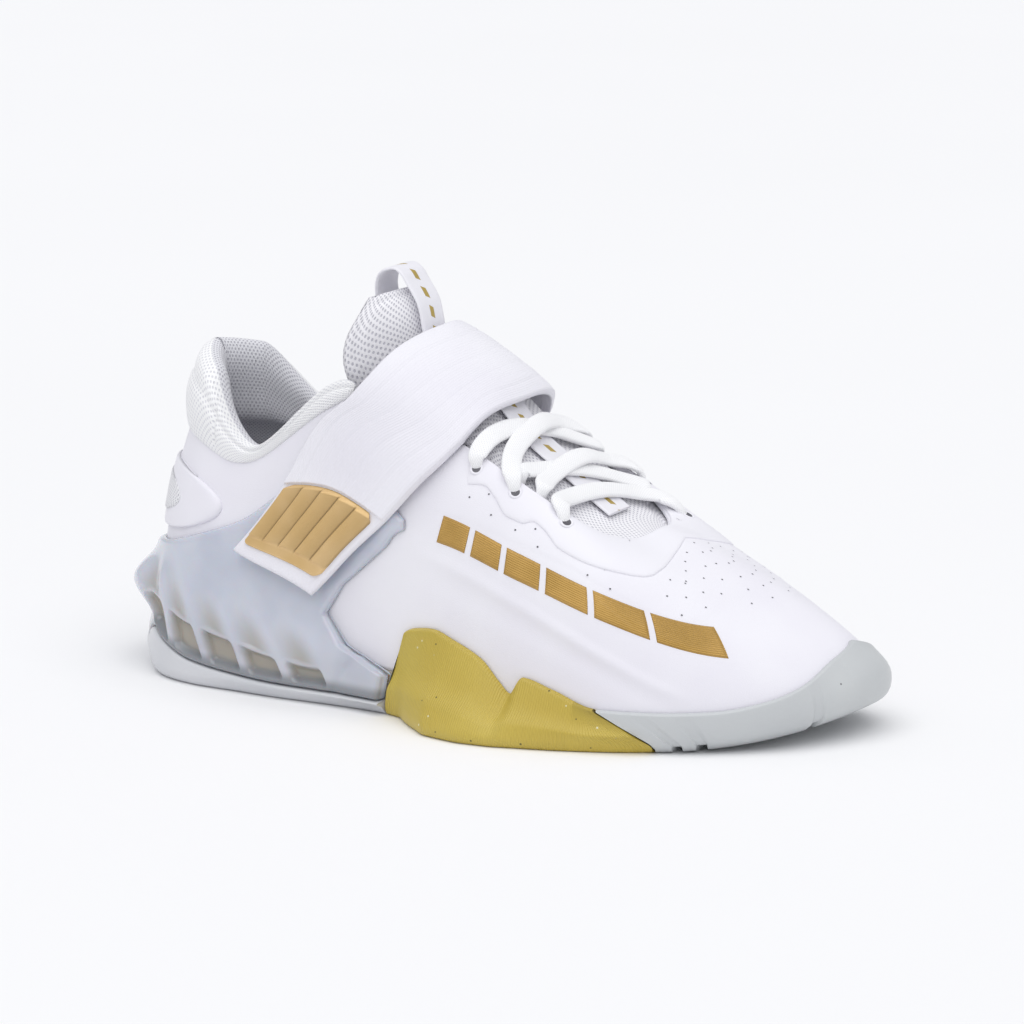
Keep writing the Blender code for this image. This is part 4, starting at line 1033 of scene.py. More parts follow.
rings = np.linspace(COLLAR[0][0], COLLAR[-1][0], 300)
rise, lean, bulge, depth = (column(COLLAR, rings, k) for k in range(1, 5))
rise, lean, bulge, depth = rise * COLLAR_HEIGHT, lean * BALL_WIDTH, bulge * BALL_WIDTH, depth * BALL_WIDTH
dip = DIP_SLIM * sum(bell(rings - at, DIP_HALF) for at in DIPS)
rise, bulge, depth = rise * (1 - dip), bulge * (1 - dip), depth * (1 - 0.7 * dip)
outward = rib_normal(rings, 0.98)
outward[:, 2] = 0.0
outward = unit(outward)
edge = ring(EDGE, rings)
groove = sum(bell(rings - seam, SEAM_HALF) for seam in SEAMS)
sections = []
for inward, height, out, tilt in COLLAR_SECTION:
    shift = out * bulge - inward * depth - tilt * lean - groove * SEAM_DEPTH * out
    rim = np.array([0.0, 0.0, 1.0]) * (GAP + height * rise)[:, None]
    sections.append(edge + outward * shift[:, None] + rim)
coarse = np.stack(sections, axis=1)
closed = np.concatenate([coarse, coarse[:, :1]], axis=1).swapaxes(0, 1)
flat = np.concatenate([closed[-2:-1], closed, closed[1:2]]).reshape(len(closed) + 2, -1)
steps = 1 + np.linspace(0, len(closed) - 1, COLLAR_POINTS + 1)[:-1]
fine = catmull(flat, steps).reshape(COLLAR_POINTS, len(rings), 3).swapaxes(0, 1)
taper = soft_edge(np.linspace(0.0, 1.0, len(rings)), 0.03)[:, None, None]
middle = fine.mean(axis=1, keepdims=True)
around = np.arange(COLLAR_POINTS)
roll = ROLL_RISE * (bell(around - ROLL_PLACE, 2.4) - 0.9 * bell(around - ROLL_PLACE + 4.5, 1.3))
fine = fine + unit(fine - middle) * roll[None, :, None]
fine = middle + (fine - middle) * (0.25 + 0.75 * taper)
lined = ((around >= LINING_POINTS[0]) & (around <= LINING_POINTS[1])).astype(int)
collar = make_tube("collar_roll", fine, (COLLAR_KNIT, LINING_KNIT), lined)
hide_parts("collar_pad")
print("collar top in mm:", round(float((fine[..., 2].max() + SHIFT[2]) * 1000), 1))

# %% [markdown]
# ## Tongue and its loop
#
# The tongue is a padded tab of open mesh. It runs under the laces and stands up free above
# the throat, cupped round the leg. It is a grid of a dozen rows made fine by smooth
# curves, with a bound edge, and swells a little between its edges. A strip of webbing is
# sewn up its middle and loops over its top.

# %% Tongue
TONGUE_TOP = (
    # centre x, centre height, edge x, half width, edge height
    (-0.083, 1.089, -0.138, 0.208, 0.941),
    (-0.090, 1.167, -0.166, 0.233, 1.036),
    (-0.097, 1.245, -0.166, 0.223, 1.150),
    (-0.112, 1.306, -0.145, 0.159, 1.271),
)
TONGUE_STATIONS = (1.5, 2.0, 2.5, 3.0, 3.5, 4.0, 4.5, 5.0, 5.45)
LOOP_TOP = (
    # x, height of the loop's middle line over and behind the tongue's top
    (-0.117, 1.345),
    (-0.129, 1.359),
    (-0.147, 1.341),
    (-0.153, 1.298),
    (-0.150, 1.237),
)


def tongue_rows():
    """Outer face of the tongue: under the vamp, along the throat, and free above it."""
    spread = np.array([0.0, 0.12, 0.25, 0.38, 0.5, 0.62, 0.75, 0.88, 1.0])
    under = -(WALL + TONGUE_CLEAR)
    rows = []
    for reach, share in ((1.35, 0.90), (1.40, 0.97)):
        rings = reach * (1 - 2 * spread)
        rows.append(skin(rings, share, under))
    for station in TONGUE_STATIONS:
        narrow = np.clip((station - 4.8) / 0.6, 0.0, 1.0)
        reach = 0.10 - 0.22 * narrow
        places = -reach + (1 + 2 * reach) * spread
        puff = np.sin(math.pi * np.clip(places, 0.0, 1.0)) ** 0.7
        rows.append(over(station, places, under * (1 - 0.75 * puff)))
    bow = 1 - (2 * spread - 1) ** 2
    for centre_x, centre_z, edge_x, half, edge_z in TONGUE_TOP:
        x = (edge_x + (centre_x - edge_x) * bow) * LENGTH
        y = (2 * spread - 1) * half * BALL_WIDTH
        z = (edge_z + (centre_z - edge_z) * bow) * COLLAR_HEIGHT
        rows.append(np.stack([x, y, z], axis=-1))
    return np.stack(rows)


TONGUE_GRID = (190, 64)
BINDING_DEPTH = 0.0010
rows = tongue_rows()
face = smooth_grid(rows, *TONGUE_GRID)
normals = unit(np.cross(np.gradient(face, axis=1), np.gradient(face, axis=0)))
long_way = np.linspace(0.0, 1.0, TONGUE_GRID[0])[:, None]
wide_way = np.linspace(0.0, 1.0, TONGUE_GRID[1])[None, :]
rounded = soft_edge(long_way, 0.030) * soft_edge(wide_way, 0.09)
bound = bell(np.minimum(wide_way, 1 - wide_way) - 0.055, 0.02) + bell(1 - long_way - 0.02, 0.009)
outer = face - normals * (0.5 * TONGUE * (1 - rounded) + BINDING_DEPTH * np.minimum(bound, 1.0))[..., None]
inner = face - normals * (0.5 * TONGUE * (1 + rounded))[..., None]
tongue = make_layer("tongue_pad", outer, inner, TONGUE_KNIT)
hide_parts("tongue")
print("tongue faces:", len(tongue.data.polygons))

# %% Pull loop
LOOP_GRID = (220, 20)
normals = unit(np.cross(np.gradient(rows, axis=1), np.gradient(rows, axis=0)))
middle = rows.shape[1] // 2
path = [rows[k, middle] + normals[k, middle] * (3 * GAP + 0.5 * WEBBING) for k in range(3, len(rows))]
path += [np.array([x * LENGTH, 0.0, z * COLLAR_HEIGHT]) for x, z in LOOP_TOP]
path = np.array(path)
path[:, 1] = np.interp(np.arange(len(path)), (0, len(path) - 6), (path[0, 1], 0.0))
fine = catmull(path, np.linspace(0, len(path) - 1, LOOP_GRID[0]))
along = unit(np.gradient(fine, axis=0))
out = unit(np.cross(np.array([0.0, 1.0, 0.0]), along))
across = np.linspace(0.0, 1.0, LOOP_GRID[1])
wide = (across - 0.5)[None, :, None] * np.array([0.0, WEBBING_WIDTH, 0.0])
thick = 0.5 * WEBBING * (0.3 + 0.7 * soft_edge(across, 0.12))[None, :, None]
loop = make_layer("loop_webbing", fine[:, None] + wide + out[:, None] * thick,
                  fine[:, None] + wide - out[:, None] * thick, LOOP_WEB)
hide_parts("pull_loop")
print("loop length in mm:", round(float(measure(fine[:, None], 0)[-1] * 1000)))

# %% [markdown]
# ## Strap
#
# A wide strap of ribbed webbing crosses the instep and comes down the outer side, where
# it folds back and ends in a moulded gold tab. The folded layer makes a step above the
# tab, and the single layer below it shows round the tab as a white border.

# %% Strap
STRAP_PATH = (
    # rear station, rear place, front station, front place, lift of rear edge, of front edge
    (7.08, -0.54, 6.30, -0.76, 0.0064, 0.0072),
    (6.82, -0.38, 5.95, -0.62, 0.0046, 0.0056),
    (6.55, -0.24, 5.56, -0.47, 0.0038, 0.0036),
    (6.28, -0.08, 5.22, -0.27, 0.0034, 0.0030),
    (5.94, 0.02, 4.93, -0.06, 0.0034, 0.0020),
    (5.74, 0.18, 4.68, 0.16, 0.0038, 0.0030),
    (5.58, 0.50, 4.50, 0.50, 0.0044, 0.0038),
    (5.74, 0.82, 4.68, 0.84, 0.0044, 0.0036),
    (5.94, 0.98, 4.93, 1.06, 0.0034, 0.0018),
    (6.12, 1.20, 5.10, 1.28, 0.0024, 0.0012),
    (6.18, 1.42, 5.20, 1.50, 0.0012, 0.0012),
)
GRIP_SPAN = (0.035, 0.190)
GRIP_SIDES = (0.05, 0.93)
GRIP_BARS = 5


def strap_point(along, across, lift):
    """Point of the strap: along its length from 0 to 1, across from rear edge to front edge."""
    along, across, lift = np.broadcast_arrays(
        np.asarray(along, float), np.asarray(across, float), np.asarray(lift, float))
    rows = np.array(STRAP_PATH)
    values = catmull(rows, along.ravel() * (len(rows) - 1)).reshape(along.shape + (6,))
    station = values[..., 0] + (values[..., 2] - values[..., 0]) * across
    place = values[..., 1] + (values[..., 3] - values[..., 1]) * across
    base = values[..., 4] + (values[..., 5] - values[..., 4]) * across
    return over(station, place, base + lift)


FOLD = 0.0011
FOLD_REACH = 0.004
FOLD_AT = GRIP_SPAN[1] + FOLD_REACH
WELTS = (0.16, 0.36, 0.58, 0.80)
WELT_DEPTH = 0.00025

along = np.concatenate([
    np.linspace(0.0, FOLD_AT - FOLD_REACH, 40),
    np.linspace(FOLD_AT - 0.0035, FOLD_AT + 0.0035, 7),
    np.linspace(FOLD_AT + FOLD_REACH, 1.0, 180)])[:, None]
across = np.linspace(0.0, 1.0, 64)[None, :]
rounded = soft_edge(across, 0.035) * soft_edge(along, 0.012)
fold = np.clip((along - FOLD_AT) / FOLD_REACH + 0.5, 0.0, 1.0)
welts = sum(bell(across - at, 0.010) for at in WELTS) * fold
lift = STRAP * (0.4 + 0.6 * rounded) + FOLD * fold * rounded - WELT_DEPTH * welts
outer = strap_point(along, across, lift)
inner = strap_point(along, across, 0.0)
strap = make_layer("instep_strap", outer, inner, STRAP_WEB)
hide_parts("strap")
print("strap faces:", len(strap.data.polygons))

# %% [markdown]
# The tab is a block with its corners squeezed round. Across it, five bars each climb at
# once and slope down again, inside a plain border. A point attribute paints shade into the
# grooves between them, and darker down each bar's slope.

# %% Strap tab
TAB_GRID = (90, 150)
TAB_SQUEEZE = 0.10

u = np.linspace(-1.0, 1.0, TAB_GRID[0])[:, None]
v = np.linspace(-1.0, 1.0, TAB_GRID[1])[None, :]
squeeze_u = 1 - TAB_SQUEEZE * np.clip((np.abs(v) - 0.93) / 0.07, 0.0, 1.0) ** 2
squeeze_v = 1 - TAB_SQUEEZE * np.clip((np.abs(u) - 0.90) / 0.10, 0.0, 1.0) ** 2
along = 0.5 * (GRIP_SPAN[0] + GRIP_SPAN[1]) + 0.5 * (GRIP_SPAN[1] - GRIP_SPAN[0]) * u * squeeze_u
across = 0.5 * (GRIP_SIDES[0] + GRIP_SIDES[1]) + 0.5 * (GRIP_SIDES[1] - GRIP_SIDES[0]) * v * squeeze_v
rim = soft_edge(0.5 + 0.5 * u + 0 * v, 0.04) * soft_edge(0.5 + 0.5 * v + 0 * u, 0.03)
bar = (0.5 + 0.5 * v) * GRIP_BARS
ramp_up = np.clip((bar % 1) / 0.12, 0.0, 1.0) * (1 - 0.72 * np.clip((bar % 1 - 0.12) / 0.86, 0.0, 1.0))
border = np.clip((u + 0.72) / 0.10, 0.0, 1.0) * np.clip((0.97 - u) / 0.06, 0.0, 1.0)
lift = GRIP_BASE * (0.2 + 0.8 * rim) + GRIP_STEP * ramp_up * border * rim
outer = strap_point(along, across, STRAP + lift)
inner = strap_point(along, across, STRAP - 0.0004)
tab = make_layer("strap_tab", outer, inner, TAB_GOLD)
# Painted shade: darkest in the groove at each bar's foot, and deepening down each bar's slope.
groove = (bell((bar % 1) - 0.02, 0.035) + bell((bar % 1) - 1.02, 0.035) + 0.35 * (bar % 1)) * border
set_masks(tab, groove=np.clip(groove, 0.0, 1.0))
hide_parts("strap_grip")
print("tab faces:", len(tab.data.polygons))

# %% [markdown]
# ## Laces
#
# Flat-round laces cross over the throat. Each strand climbs out from under the band's edge
# beside one eyelet, arches over the tongue and dives into the eyelet on the other side.
# They are stiff enough here to keep the arch, so each is a profile carried along the
# surface of the last at a lift, with the ends turned down into the holes.

# %% Laces
LACE_END_PLACE = 0.105
STRAND_WIDTH = 0.0076
STRAND_THICKNESS = 0.0026
STRAND_POINTS = (90, 20)
DIVE_REACH = 0.07
DIVE_PAST = 0.0020
SETTLE = 0.0012
SETTLES = (0.24, 0.76)
CROSSING_STEP = 0.42
UNDER_ENDS = (0.03, 0.97)
HOP = STRAND_THICKNESS + 0.0002


def lace(name, start, end, first, last, hop):
    """One strand: places from first to last across the throat, a lift that dives at its ends.

    The lift is the strand's resting height, less a little where it settles on either side,
    plus a bell of one lace over the crossing. The section is a rounded flat oval.
    """
    t = np.linspace(0.0, 1.0, STRAND_POINTS[0])
    place = first + (last - first) * t
    station = start + (end - start) * np.clip((t - 0.06) / 0.88, 0.0, 1.0)
    rest = GAP + WEBBING + 0.5 * STRAND_THICKNESS
    dive = sum(np.clip(1 - end_way / DIVE_REACH, 0.0, 1.0) ** 2 for end_way in (t, 1 - t))
    settle = SETTLE * sum(bell(place - at, 0.16) for at in SETTLES)
    lift = rest + hop * bell(t - 0.5, 0.17) - settle - (rest + DIVE_PAST) * dive
    middle = over(station, place, lift)
    up = unit(over(station, place, lift + 0.001) - middle)
    along = unit(np.gradient(middle, axis=0))
    wide = unit(np.cross(along, up))
    up = np.cross(wide, along)
    turn = np.linspace(0.0, 2 * math.pi, STRAND_POINTS[1] + 1)[:-1]
    slim = (1 - 0.5 * (bell(t, 0.06) + bell(1 - t, 0.06)))[:, None, None]
    x, y = (0.5 * size * np.sign(wave) * np.abs(wave) ** 0.8
            for size, wave in ((STRAND_WIDTH, np.cos(turn)), (STRAND_THICKNESS, np.sin(turn))))
    sections = middle[:, None] + x[None, :, None] * slim * wide[:, None] + y[None, :, None] * up[:, None]
    piece = make_tube(name, sections, [LACE_WEAVE])
    return piece


low, middle, high = LATERAL_EYELETS
low_in, middle_in, high_in = MEDIAL_EYELETS
in_eyelet, out_eyelet = -LACE_END_PLACE, 1 + LACE_END_PLACE
bar = lace("lace_bar_strand", low, low_in, in_eyelet, out_eyelet, 0.0)
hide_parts("lace_bar")
CROSSINGS = (
    # node, first place, stations of the strand below, stations of the strand above
    ("lace_cross_lower", UNDER_ENDS[0], (middle - 0.18, low_in + CROSSING_STEP), (low + 0.28, middle_in)),
    ("lace_cross_upper", in_eyelet, (high, middle_in + CROSSING_STEP), (middle, high_in)),
)
for number, (node, first, below, above) in enumerate(CROSSINGS, 1):
    under = lace("lace_under_%d" % number, *below, first, UNDER_ENDS[1], 0.0)
    lace("lace_over_%d" % number, *above, first, out_eyelet, HOP)
    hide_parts(node)
print("lace strands: 5")

# %% [markdown]
# ## Heel cage
#
# A milky plastic cage wraps the heel and the high heel block. Its lower edge follows the
# heel rubber's rim, its front edge is concave, and one arm runs up under the strap. The
# grid has a row for each share of the height between the two edges.

# %% Edges of the cage
CAGE_TOP = (
    # station, lateral height, medial height
    (5.4, 2.284, 1.631),
    (5.8, 2.675, 1.827),
    (6.2, 2.741, 1.892),
    (6.55, 2.545, 1.958),
    (7.05, 2.088, 1.958),
    (7.6, 1.827, 1.794),
    (8.2, 1.631, 1.631),
    (9.0, 1.501, 1.501),
)
CAGE_FRONT = (
    # height, lateral station, medial station
    (0.131, 5.64, 5.64),
    (0.489, 5.58, 5.58),
    (0.750, 6.05, 5.95),
    (1.109, 6.24, 6.10),
    (1.468, 6.08, 6.05),
    (2.219, 5.44, 5.75),
    (2.741, 5.44, 5.70),
)
FIN_TOP = 1.697
HEEL_RIM = (
    # station, lateral height, medial height, lateral spread, medial spread
    (5.4, 0.183, 0.183, 0.010, 0.000),
    (6.0, 0.187, 0.187, 0.025, 0.015),
    (6.6, 0.195, 0.195, 0.035, 0.025),
    (7.1, 0.230, 0.230, 0.040, 0.030),
    (7.6, 0.310, 0.310, 0.050, 0.040),
    (8.0, 0.480, 0.480, 0.050, 0.040),
    (8.2, 0.570, 0.570, 0.045, 0.035),
    (8.45, 0.400, 0.400, 0.025, 0.025),
    (9.0, 0.480, 0.480, 0.010, 0.010),
)
POCKET_PITCH = 0.42
POCKET_FIRST = 6.12
POCKETS_END = 8.22
POCKET_LEAN = 11.0
POCKET_DEPTH = 0.0034
TROUGH_DEPTH = 0.0018
SKIRT_OUT = 0.0036
LIP_PLACE = 1.05
LIP_REACH = 0.25
HOLLOW_DEPTH = 0.0016
FRONT_CREASE = 0.0008
CAGE_GRID = (84, 225)


def smooth_between(value, low, high):
    """0 below one value and 1 above the other, with an even curve between."""
    share = np.clip((value - low) / (high - low), 0.0, 1.0)
    return share * share * (3 - 2 * share)


def cage_edges(rings):
    """Lower and upper edge of the cage at a ring number."""
    station = np.minimum(rings, RINGS - rings)
    lateral = rings <= HEEL
    low = np.where(lateral, column(HEEL_RIM, station, 1), column(HEEL_RIM, station, 2))
    high = np.where(lateral, column(CAGE_TOP, station, 1), column(CAGE_TOP, station, 2))
    return low * HEEL_RISE + GAP, high * HEEL_RISE


def cage_front(hand, levels):
    """Ring numbers of the cage's concave front edge, one for each level of its height."""
    heights = np.array([row[0] for row in CAGE_FRONT]) * HEEL_RISE
    stations = np.array([row[1 + hand] for row in CAGE_FRONT])
    found = np.full(levels.shape, stations.mean())
    for _ in range(12):
        low, high = cage_edges(found if hand == 0 else RINGS - found)
        found = np.interp(low + (high - low) * levels, heights, stations)
    return found


# %% [markdown]
# The grid runs from the front edge on the outer side round the heel to the front edge on
# the inner side. Its rows lie closer together near the lower edge, where the fins are.

# %% Grid of the cage
levels = np.linspace(0.0, 1.0, CAGE_GRID[0]) ** 1.3
t = np.linspace(0.0, 1.0, CAGE_GRID[1])[None, :]
rings = []
for hand in range(2):
    front = cage_front(hand, levels)[:, None]
    half = front + (HEEL - front) * t
    rings.append(half if hand == 0 else RINGS - half[:, ::-1][:, 1:])
rings = np.concatenate(rings, axis=1)
station = np.minimum(rings, RINGS - rings)
low, high = cage_edges(rings)
heights = low + (high - low) * levels[:, None]
above = heights - low
print("cage's height at the heel in mm:", round(float(np.ptp(heights[:, rings.shape[1] // 2])) * 1000, 1))

# %% [markdown]
# Low down the plastic stands out over the sole as one smooth skirt. Pockets are scooped
# into it side by side: each is flat in its middle, ends in a crisp upper edge, and leaves
# a thin upright fin between it and the next. Over every pocket a soft trough runs up and
# back and dies out. Across the back runs a rounded lip with a shallow hollow under it.

# %% Skirt, pockets and lip
turns = (station - POCKET_LEAN * above - POCKET_FIRST) / POCKET_PITCH
last_turn = (POCKETS_END - POCKET_FIRST) / POCKET_PITCH
inside = smooth_between(turns, 0.0, 0.12) * smooth_between(last_turn - turns, 0.0, 0.12)
wave = (0.5 - 0.5 * np.cos(2 * math.pi * turns)) * inside
pocket_top = 0.0075 + 0.0055 * smooth_between(station, 6.2, 7.6)
pocket = (smooth_between(wave, 0.03, 0.34) * smooth_between(above, 0.0008, 0.0036)
          * smooth_between(-above, -pocket_top - 0.0014, -pocket_top + 0.0022))
trough = (wave * bell(above - pocket_top - 0.0030, 0.0080)
          * smooth_between(above, pocket_top, pocket_top + 0.002))
skirt = 1 - smooth_between(heights, 0.45 * HEEL_RISE, FIN_TOP * HEEL_RISE)
behind = smooth_between(station, 7.8, 8.7)
lip = behind * bell(heights / HEEL_RISE - LIP_PLACE, LIP_REACH)
hollow = behind * bell(heights / HEEL_RISE - 0.68, 0.13)
crease = bell(station - 6.05 + 14.0 * (above - 0.006), 0.07) * smooth_between(-station, -6.3, -6.0)
lift = (GAP + CAGE + SKIRT_OUT * skirt + CAGE_LIP * lip - HOLLOW_DEPTH * hollow
        - POCKET_DEPTH * pocket - TROUGH_DEPTH * trough - FRONT_CREASE * crease)
sides_round = soft_edge(np.linspace(0.0, 1.0, rings.shape[1]), 0.010)
top_round = soft_edge(0.5 + 0.5 * levels, 0.03)[:, None]
edge_round = np.minimum(np.clip(0.88 + above / 0.008, 0.0, 1.0), top_round)
outer = side(rings, heights, GAP + (lift - GAP) * (0.3 + 0.7 * np.minimum(edge_round, sides_round)))
inner = side(rings, heights, GAP)
cage = make_layer("cage_shell", outer.swapaxes(0, 1), inner.swapaxes(0, 1), CAGE_PLASTIC)
floor_band = smooth_between(-above, -0.0056, -0.0016) * (0.45 + 0.55 * smooth_between(-station, -8.7, -8.2))
# Painted shade, mixed into the core mask beside the foam of the pockets: the troughs, the hollow under the
# lip and a band low on the back.
low_shade = bell(above - 0.5 * pocket_top, 0.010) * smooth_between(-station, -8.8, -8.0)
shadow = 0.6 * trough + 0.25 * hollow + 0.18 * low_shade
set_masks(cage, core=np.clip(0.9 * pocket + shadow, 0.0, 1.0).T, low=0.95 * floor_band.T)
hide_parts("heel_cage")
print("cage faces:", len(cage.data.polygons))

# %% [markdown]
# ## Outsoles
#
# Three rubber pieces meet under the shoe: a pale grey forefoot that laps up over the toe,
# a mustard outrigger at the waist with two tall flanges, and a hard grey heel. Each half is
# a profile of twelve points, or fourteen with a ridge, from the middle of the tread out, up
# the side, over the rim and back underneath. Curves round the profile's corners, and a
# fine bevel breaks the edges at the piece's ends.

# %% Outsole sizes
MIDFOOT_END = 5.6
FOREFOOT_END = 2.6
SLANT = 0.6
REAR_SLANT = -0.2
SLANT_REACH = 0.8
WIDTH_OUT = 0.032
LUG_STATIONS = (0.88, 2.12, 2.38)
LUG_HALF = 0.055
LUG_DEPTH = 0.0020
FOREFOOT_RIM = (
    # station, lateral height, medial height, lateral spread, medial spread
    (0.0, 1.077, 1.077, -0.079, -0.079),
    (0.5, 0.946, 0.946, -0.065, -0.065),
    (1.0, 0.734, 0.750, -0.045, -0.050),
    (1.5, 0.587, 0.587, -0.035, -0.035),
    (2.0, 0.509, 0.509, -0.030, -0.030),
    (2.6, 0.489, 0.489, -0.015, -0.020),
    (3.2, 0.489, 0.489, 0.035, 0.000),
)
MIDFOOT_RIM = (
    # station, lateral height, medial height, lateral spread, medial spread
    (2.6, 0.489, 0.489, -0.015, -0.020),
    (3.2, 0.489, 0.489, 0.035, 0.000),
    (3.66, 0.653, 0.555, 0.089, 0.015),
    (4.0, 0.750, 0.685, 0.129, 0.030),
    (4.15, 0.538, 0.620, 0.149, 0.035),
    (4.28, 0.653, 0.685, 0.159, 0.040),
    (4.5, 0.881, 0.816, 0.174, 0.045),
    (4.84, 1.040, 0.960, 0.169, 0.040),
    (5.1, 1.130, 1.020, 0.119, 0.030),
    (5.3, 1.100, 0.990, 0.070, 0.020),
    (5.45, 1.010, 0.930, 0.030, 0.012),
    (5.6, 0.820, 0.800, 0.020, 0.010),
)
print("rows of the rims:", len(FOREFOOT_RIM), len(MIDFOOT_RIM), len(HEEL_RIM))

# %% [markdown]
# One function works out the profile for every station of a half at once. The rim follows
# its table, the side flares out below it, and the inner face lies just off the upper.

# %% Outsole profile
def lug_notch(stations):
    """1 inside a groove between two side lugs, else 0."""
    inside = [np.abs(stations - middle) < LUG_HALF for middle in LUG_STATIONS]
    return np.any(inside, axis=0).astype(float)


def outsole_half(hand, rim, flat, slants, mid_out, top_out, ridge, lugs):
    """Half of an outsole as columns by profile points, from the spine out and back to it.

    Both ends may slant: towards the rim, the stations near an end shift by its slant. The
    side stands out from the last by mid_out halfway up and by top_out at the rim. A ridge
    above 0 folds the side along a line a third of the way up, with two more points.
    """
    number = 1 if hand < 0 else 2
    near_front = np.clip(1 - (flat - flat[0]) / SLANT_REACH, 0.0, 1.0)
    near_rear = np.clip(1 - (flat[-1] - flat) / SLANT_REACH, 0.0, 1.0)

    def station(level):
        return flat + level * (slants[0] * near_front + slants[1] * near_rear)

    def rim_height(at):
        return column(rim, at, number) * HEEL_RISE

    def spread(at):
        return column(rim, at, number + 2) * BALL_WIDTH

    notch = lug_notch(flat) if lugs else np.zeros_like(flat)
    profile = [tread_point(flat, hand, 0.0, 0.0, 0.0),
               tread_point(flat, hand, 0.55, 0.0, spread(flat)),
               tread_point(flat, hand, 1.0, notch * LUG_DEPTH, spread(flat))]
    least = GAP + SOLE_EDGE
    for level in (0.0, 0.27, 0.33, 0.5) if ridge else (0.0, 0.5):
        at = station(level)
        low = spring(ring(FOOT, ring_of(at, hand))[..., 0]) + 0.8 * OUTSOLE
        height = low + (rim_height(at) - low) * level
        flare = np.maximum(spread(at), 0.0) * (1 - level) ** 1.3 + least
        flare = np.maximum(flare, least + (mid_out - least) * 2 * level)
        flare = flare + ridge * {0.0: -0.8, 0.27: 1.0, 0.33: 1.0, 0.5: -0.2}[level]
        profile.append(side(ring_of(at, hand), height, flare - notch * 0.4 * SOLE_EDGE * (1 - level)))
    top = station(1.0)
    profile.append(side(ring_of(top, hand), rim_height(top) - 0.3 * SOLE_EDGE, np.maximum(least, top_out)))
    for level in (1.0, 0.6, 0.25, 0.0):
        at = station(level)
        around = ring_of(at, hand)
        foot, knee, high = ring(FOOT, around), rib(around, FIRST_ROW)[..., 2], rim_height(at)
        floor = spring(foot[..., 0]) + OUTSOLE
        low = np.where(foot[..., 2] < high - 0.5 * SOLE_EDGE, foot[..., 2], floor + 0.35 * (high - floor))
        middle = np.where(high > knee + SOLE_EDGE, knee, 0.5 * (low + high))
        height = {1.0: high, 0.6: middle, 0.25: low, 0.0: floor}[level]
        around = ring_of(station((height - floor) / (high - floor)), hand)
        profile.append(side(around, height, GAP))
    profile.append(tread_point(flat, hand, 0.55, OUTSOLE, 0.0))
    profile.append(tread_point(flat, hand, 0.0, OUTSOLE, 0.0))
    return np.stack(profile, axis=1)


# %% [markdown]
# Moulded rubber has no sharp edge, and the side's soft turns are what catch the light.

# %% Rounded corners
CORNER_STEPS = 5
WELD = 0.00002
BEVEL = 0.0004
# reach in metres of each profile point's curve, 0 where the point stays
PLAIN_CORNERS = (0, 0, 0.0016, 0.0045, 0.0060, 0.0009, 0.0005, 0.0001, 0.0001, 0.0001, 0, 0)
RIDGE_CORNERS = (0, 0, 0.0016, 0.0040, 0.0005, 0.0005, 0.0040, 0.0009, 0.0005, 0.0001, 0.0001, 0.0001, 0, 0)


def round_corners(grid, reaches):
    """Profile with its corners rounded: each corner becomes a quadratic curve.

    The curve starts and ends at a reach from the corner on its two edges, at most 0.45 of
    an edge, and the corner itself is the curve's middle control point.
    """
    t = np.linspace(0.0, 1.0, CORNER_STEPS)[None, :, None]
    rows = []
    for k in range(grid.shape[1]):
        if not reaches[k]:
            rows.append(grid[:, k:k + 1])
            continue
        here, ends = grid[:, k], []
        for other in (grid[:, k - 1], grid[:, k + 1]):
            away = other - here
            length = np.linalg.norm(away, axis=1, keepdims=True)
            reach = np.minimum(reaches[k], 0.45 * length)
            ends.append(here + away * reach / np.maximum(length, 1e-7))
        first, corner, last = ends[0][:, None], here[:, None], ends[1][:, None]
        rows.append((1 - t) ** 2 * first + 2 * t * (1 - t) * corner + t * t * last)
    return np.concatenate(rows, axis=1)


# %% [markdown]
# The two halves meet along the middle of the shoe, where a weld joins them into one closed
# piece. Three calls make the three rubbers, a hair apart from each other.

# %% Outsole pieces
def make_outsole(name, node, rim, front, rear, slants, outs, finish, count, lugs=False):
    """Both halves of an outsole between two stations, welded along the middle of the shoe.

    Where the piece stops short of the toe or the heel, a ladder of quads caps its end.
    """
    stations = np.linspace(front, rear, count)
    points, faces_all, corners_all = [], [], []
    start = 0
    for hand in (-1, 1):
        grid = round_corners(outsole_half(hand, rim, stations, slants, *outs, lugs),
                             RIDGE_CORNERS if outs[2] else PLAIN_CORNERS)
        faces, places = quads(*grid.shape[:2])
        corners = grid_uv(grid, places, False, False)[..., ::-1]
        n = grid.shape[1]
        k = np.arange(n // 2 - 1)
        ladder = np.stack([k, k + 1, n - 2 - k, n - 1 - k], axis=-1)
        ends = []
        if front > 0.0:
            ends.append(ladder)
        if rear < HEEL:
            ends.append(ladder[:, ::-1] + (count - 1) * n)
        both = np.concatenate([faces] + ends) + start
        uvs = np.concatenate([corners] + [np.zeros((len(e), 4, 2)) for e in ends])
        if hand > 0:
            both, uvs = both[:, ::-1], uvs[:, ::-1]
        points.append(grid.reshape(-1, 3))
        faces_all.append(both)
        corners_all.append(uvs)
        start += grid.shape[0] * n
    piece = make_piece(name, *(np.concatenate(part) for part in (points, faces_all, corners_all)), [finish])
    weld = piece.modifiers.new("weld", "WELD")
    weld.merge_threshold = WELD
    bevel = piece.modifiers.new("bevel", "BEVEL")
    bevel.width = BEVEL
    bevel.segments = 2
    bevel.limit_method = "ANGLE"
    bevel.angle_limit = math.radians(50)
    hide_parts(node)
    return piece


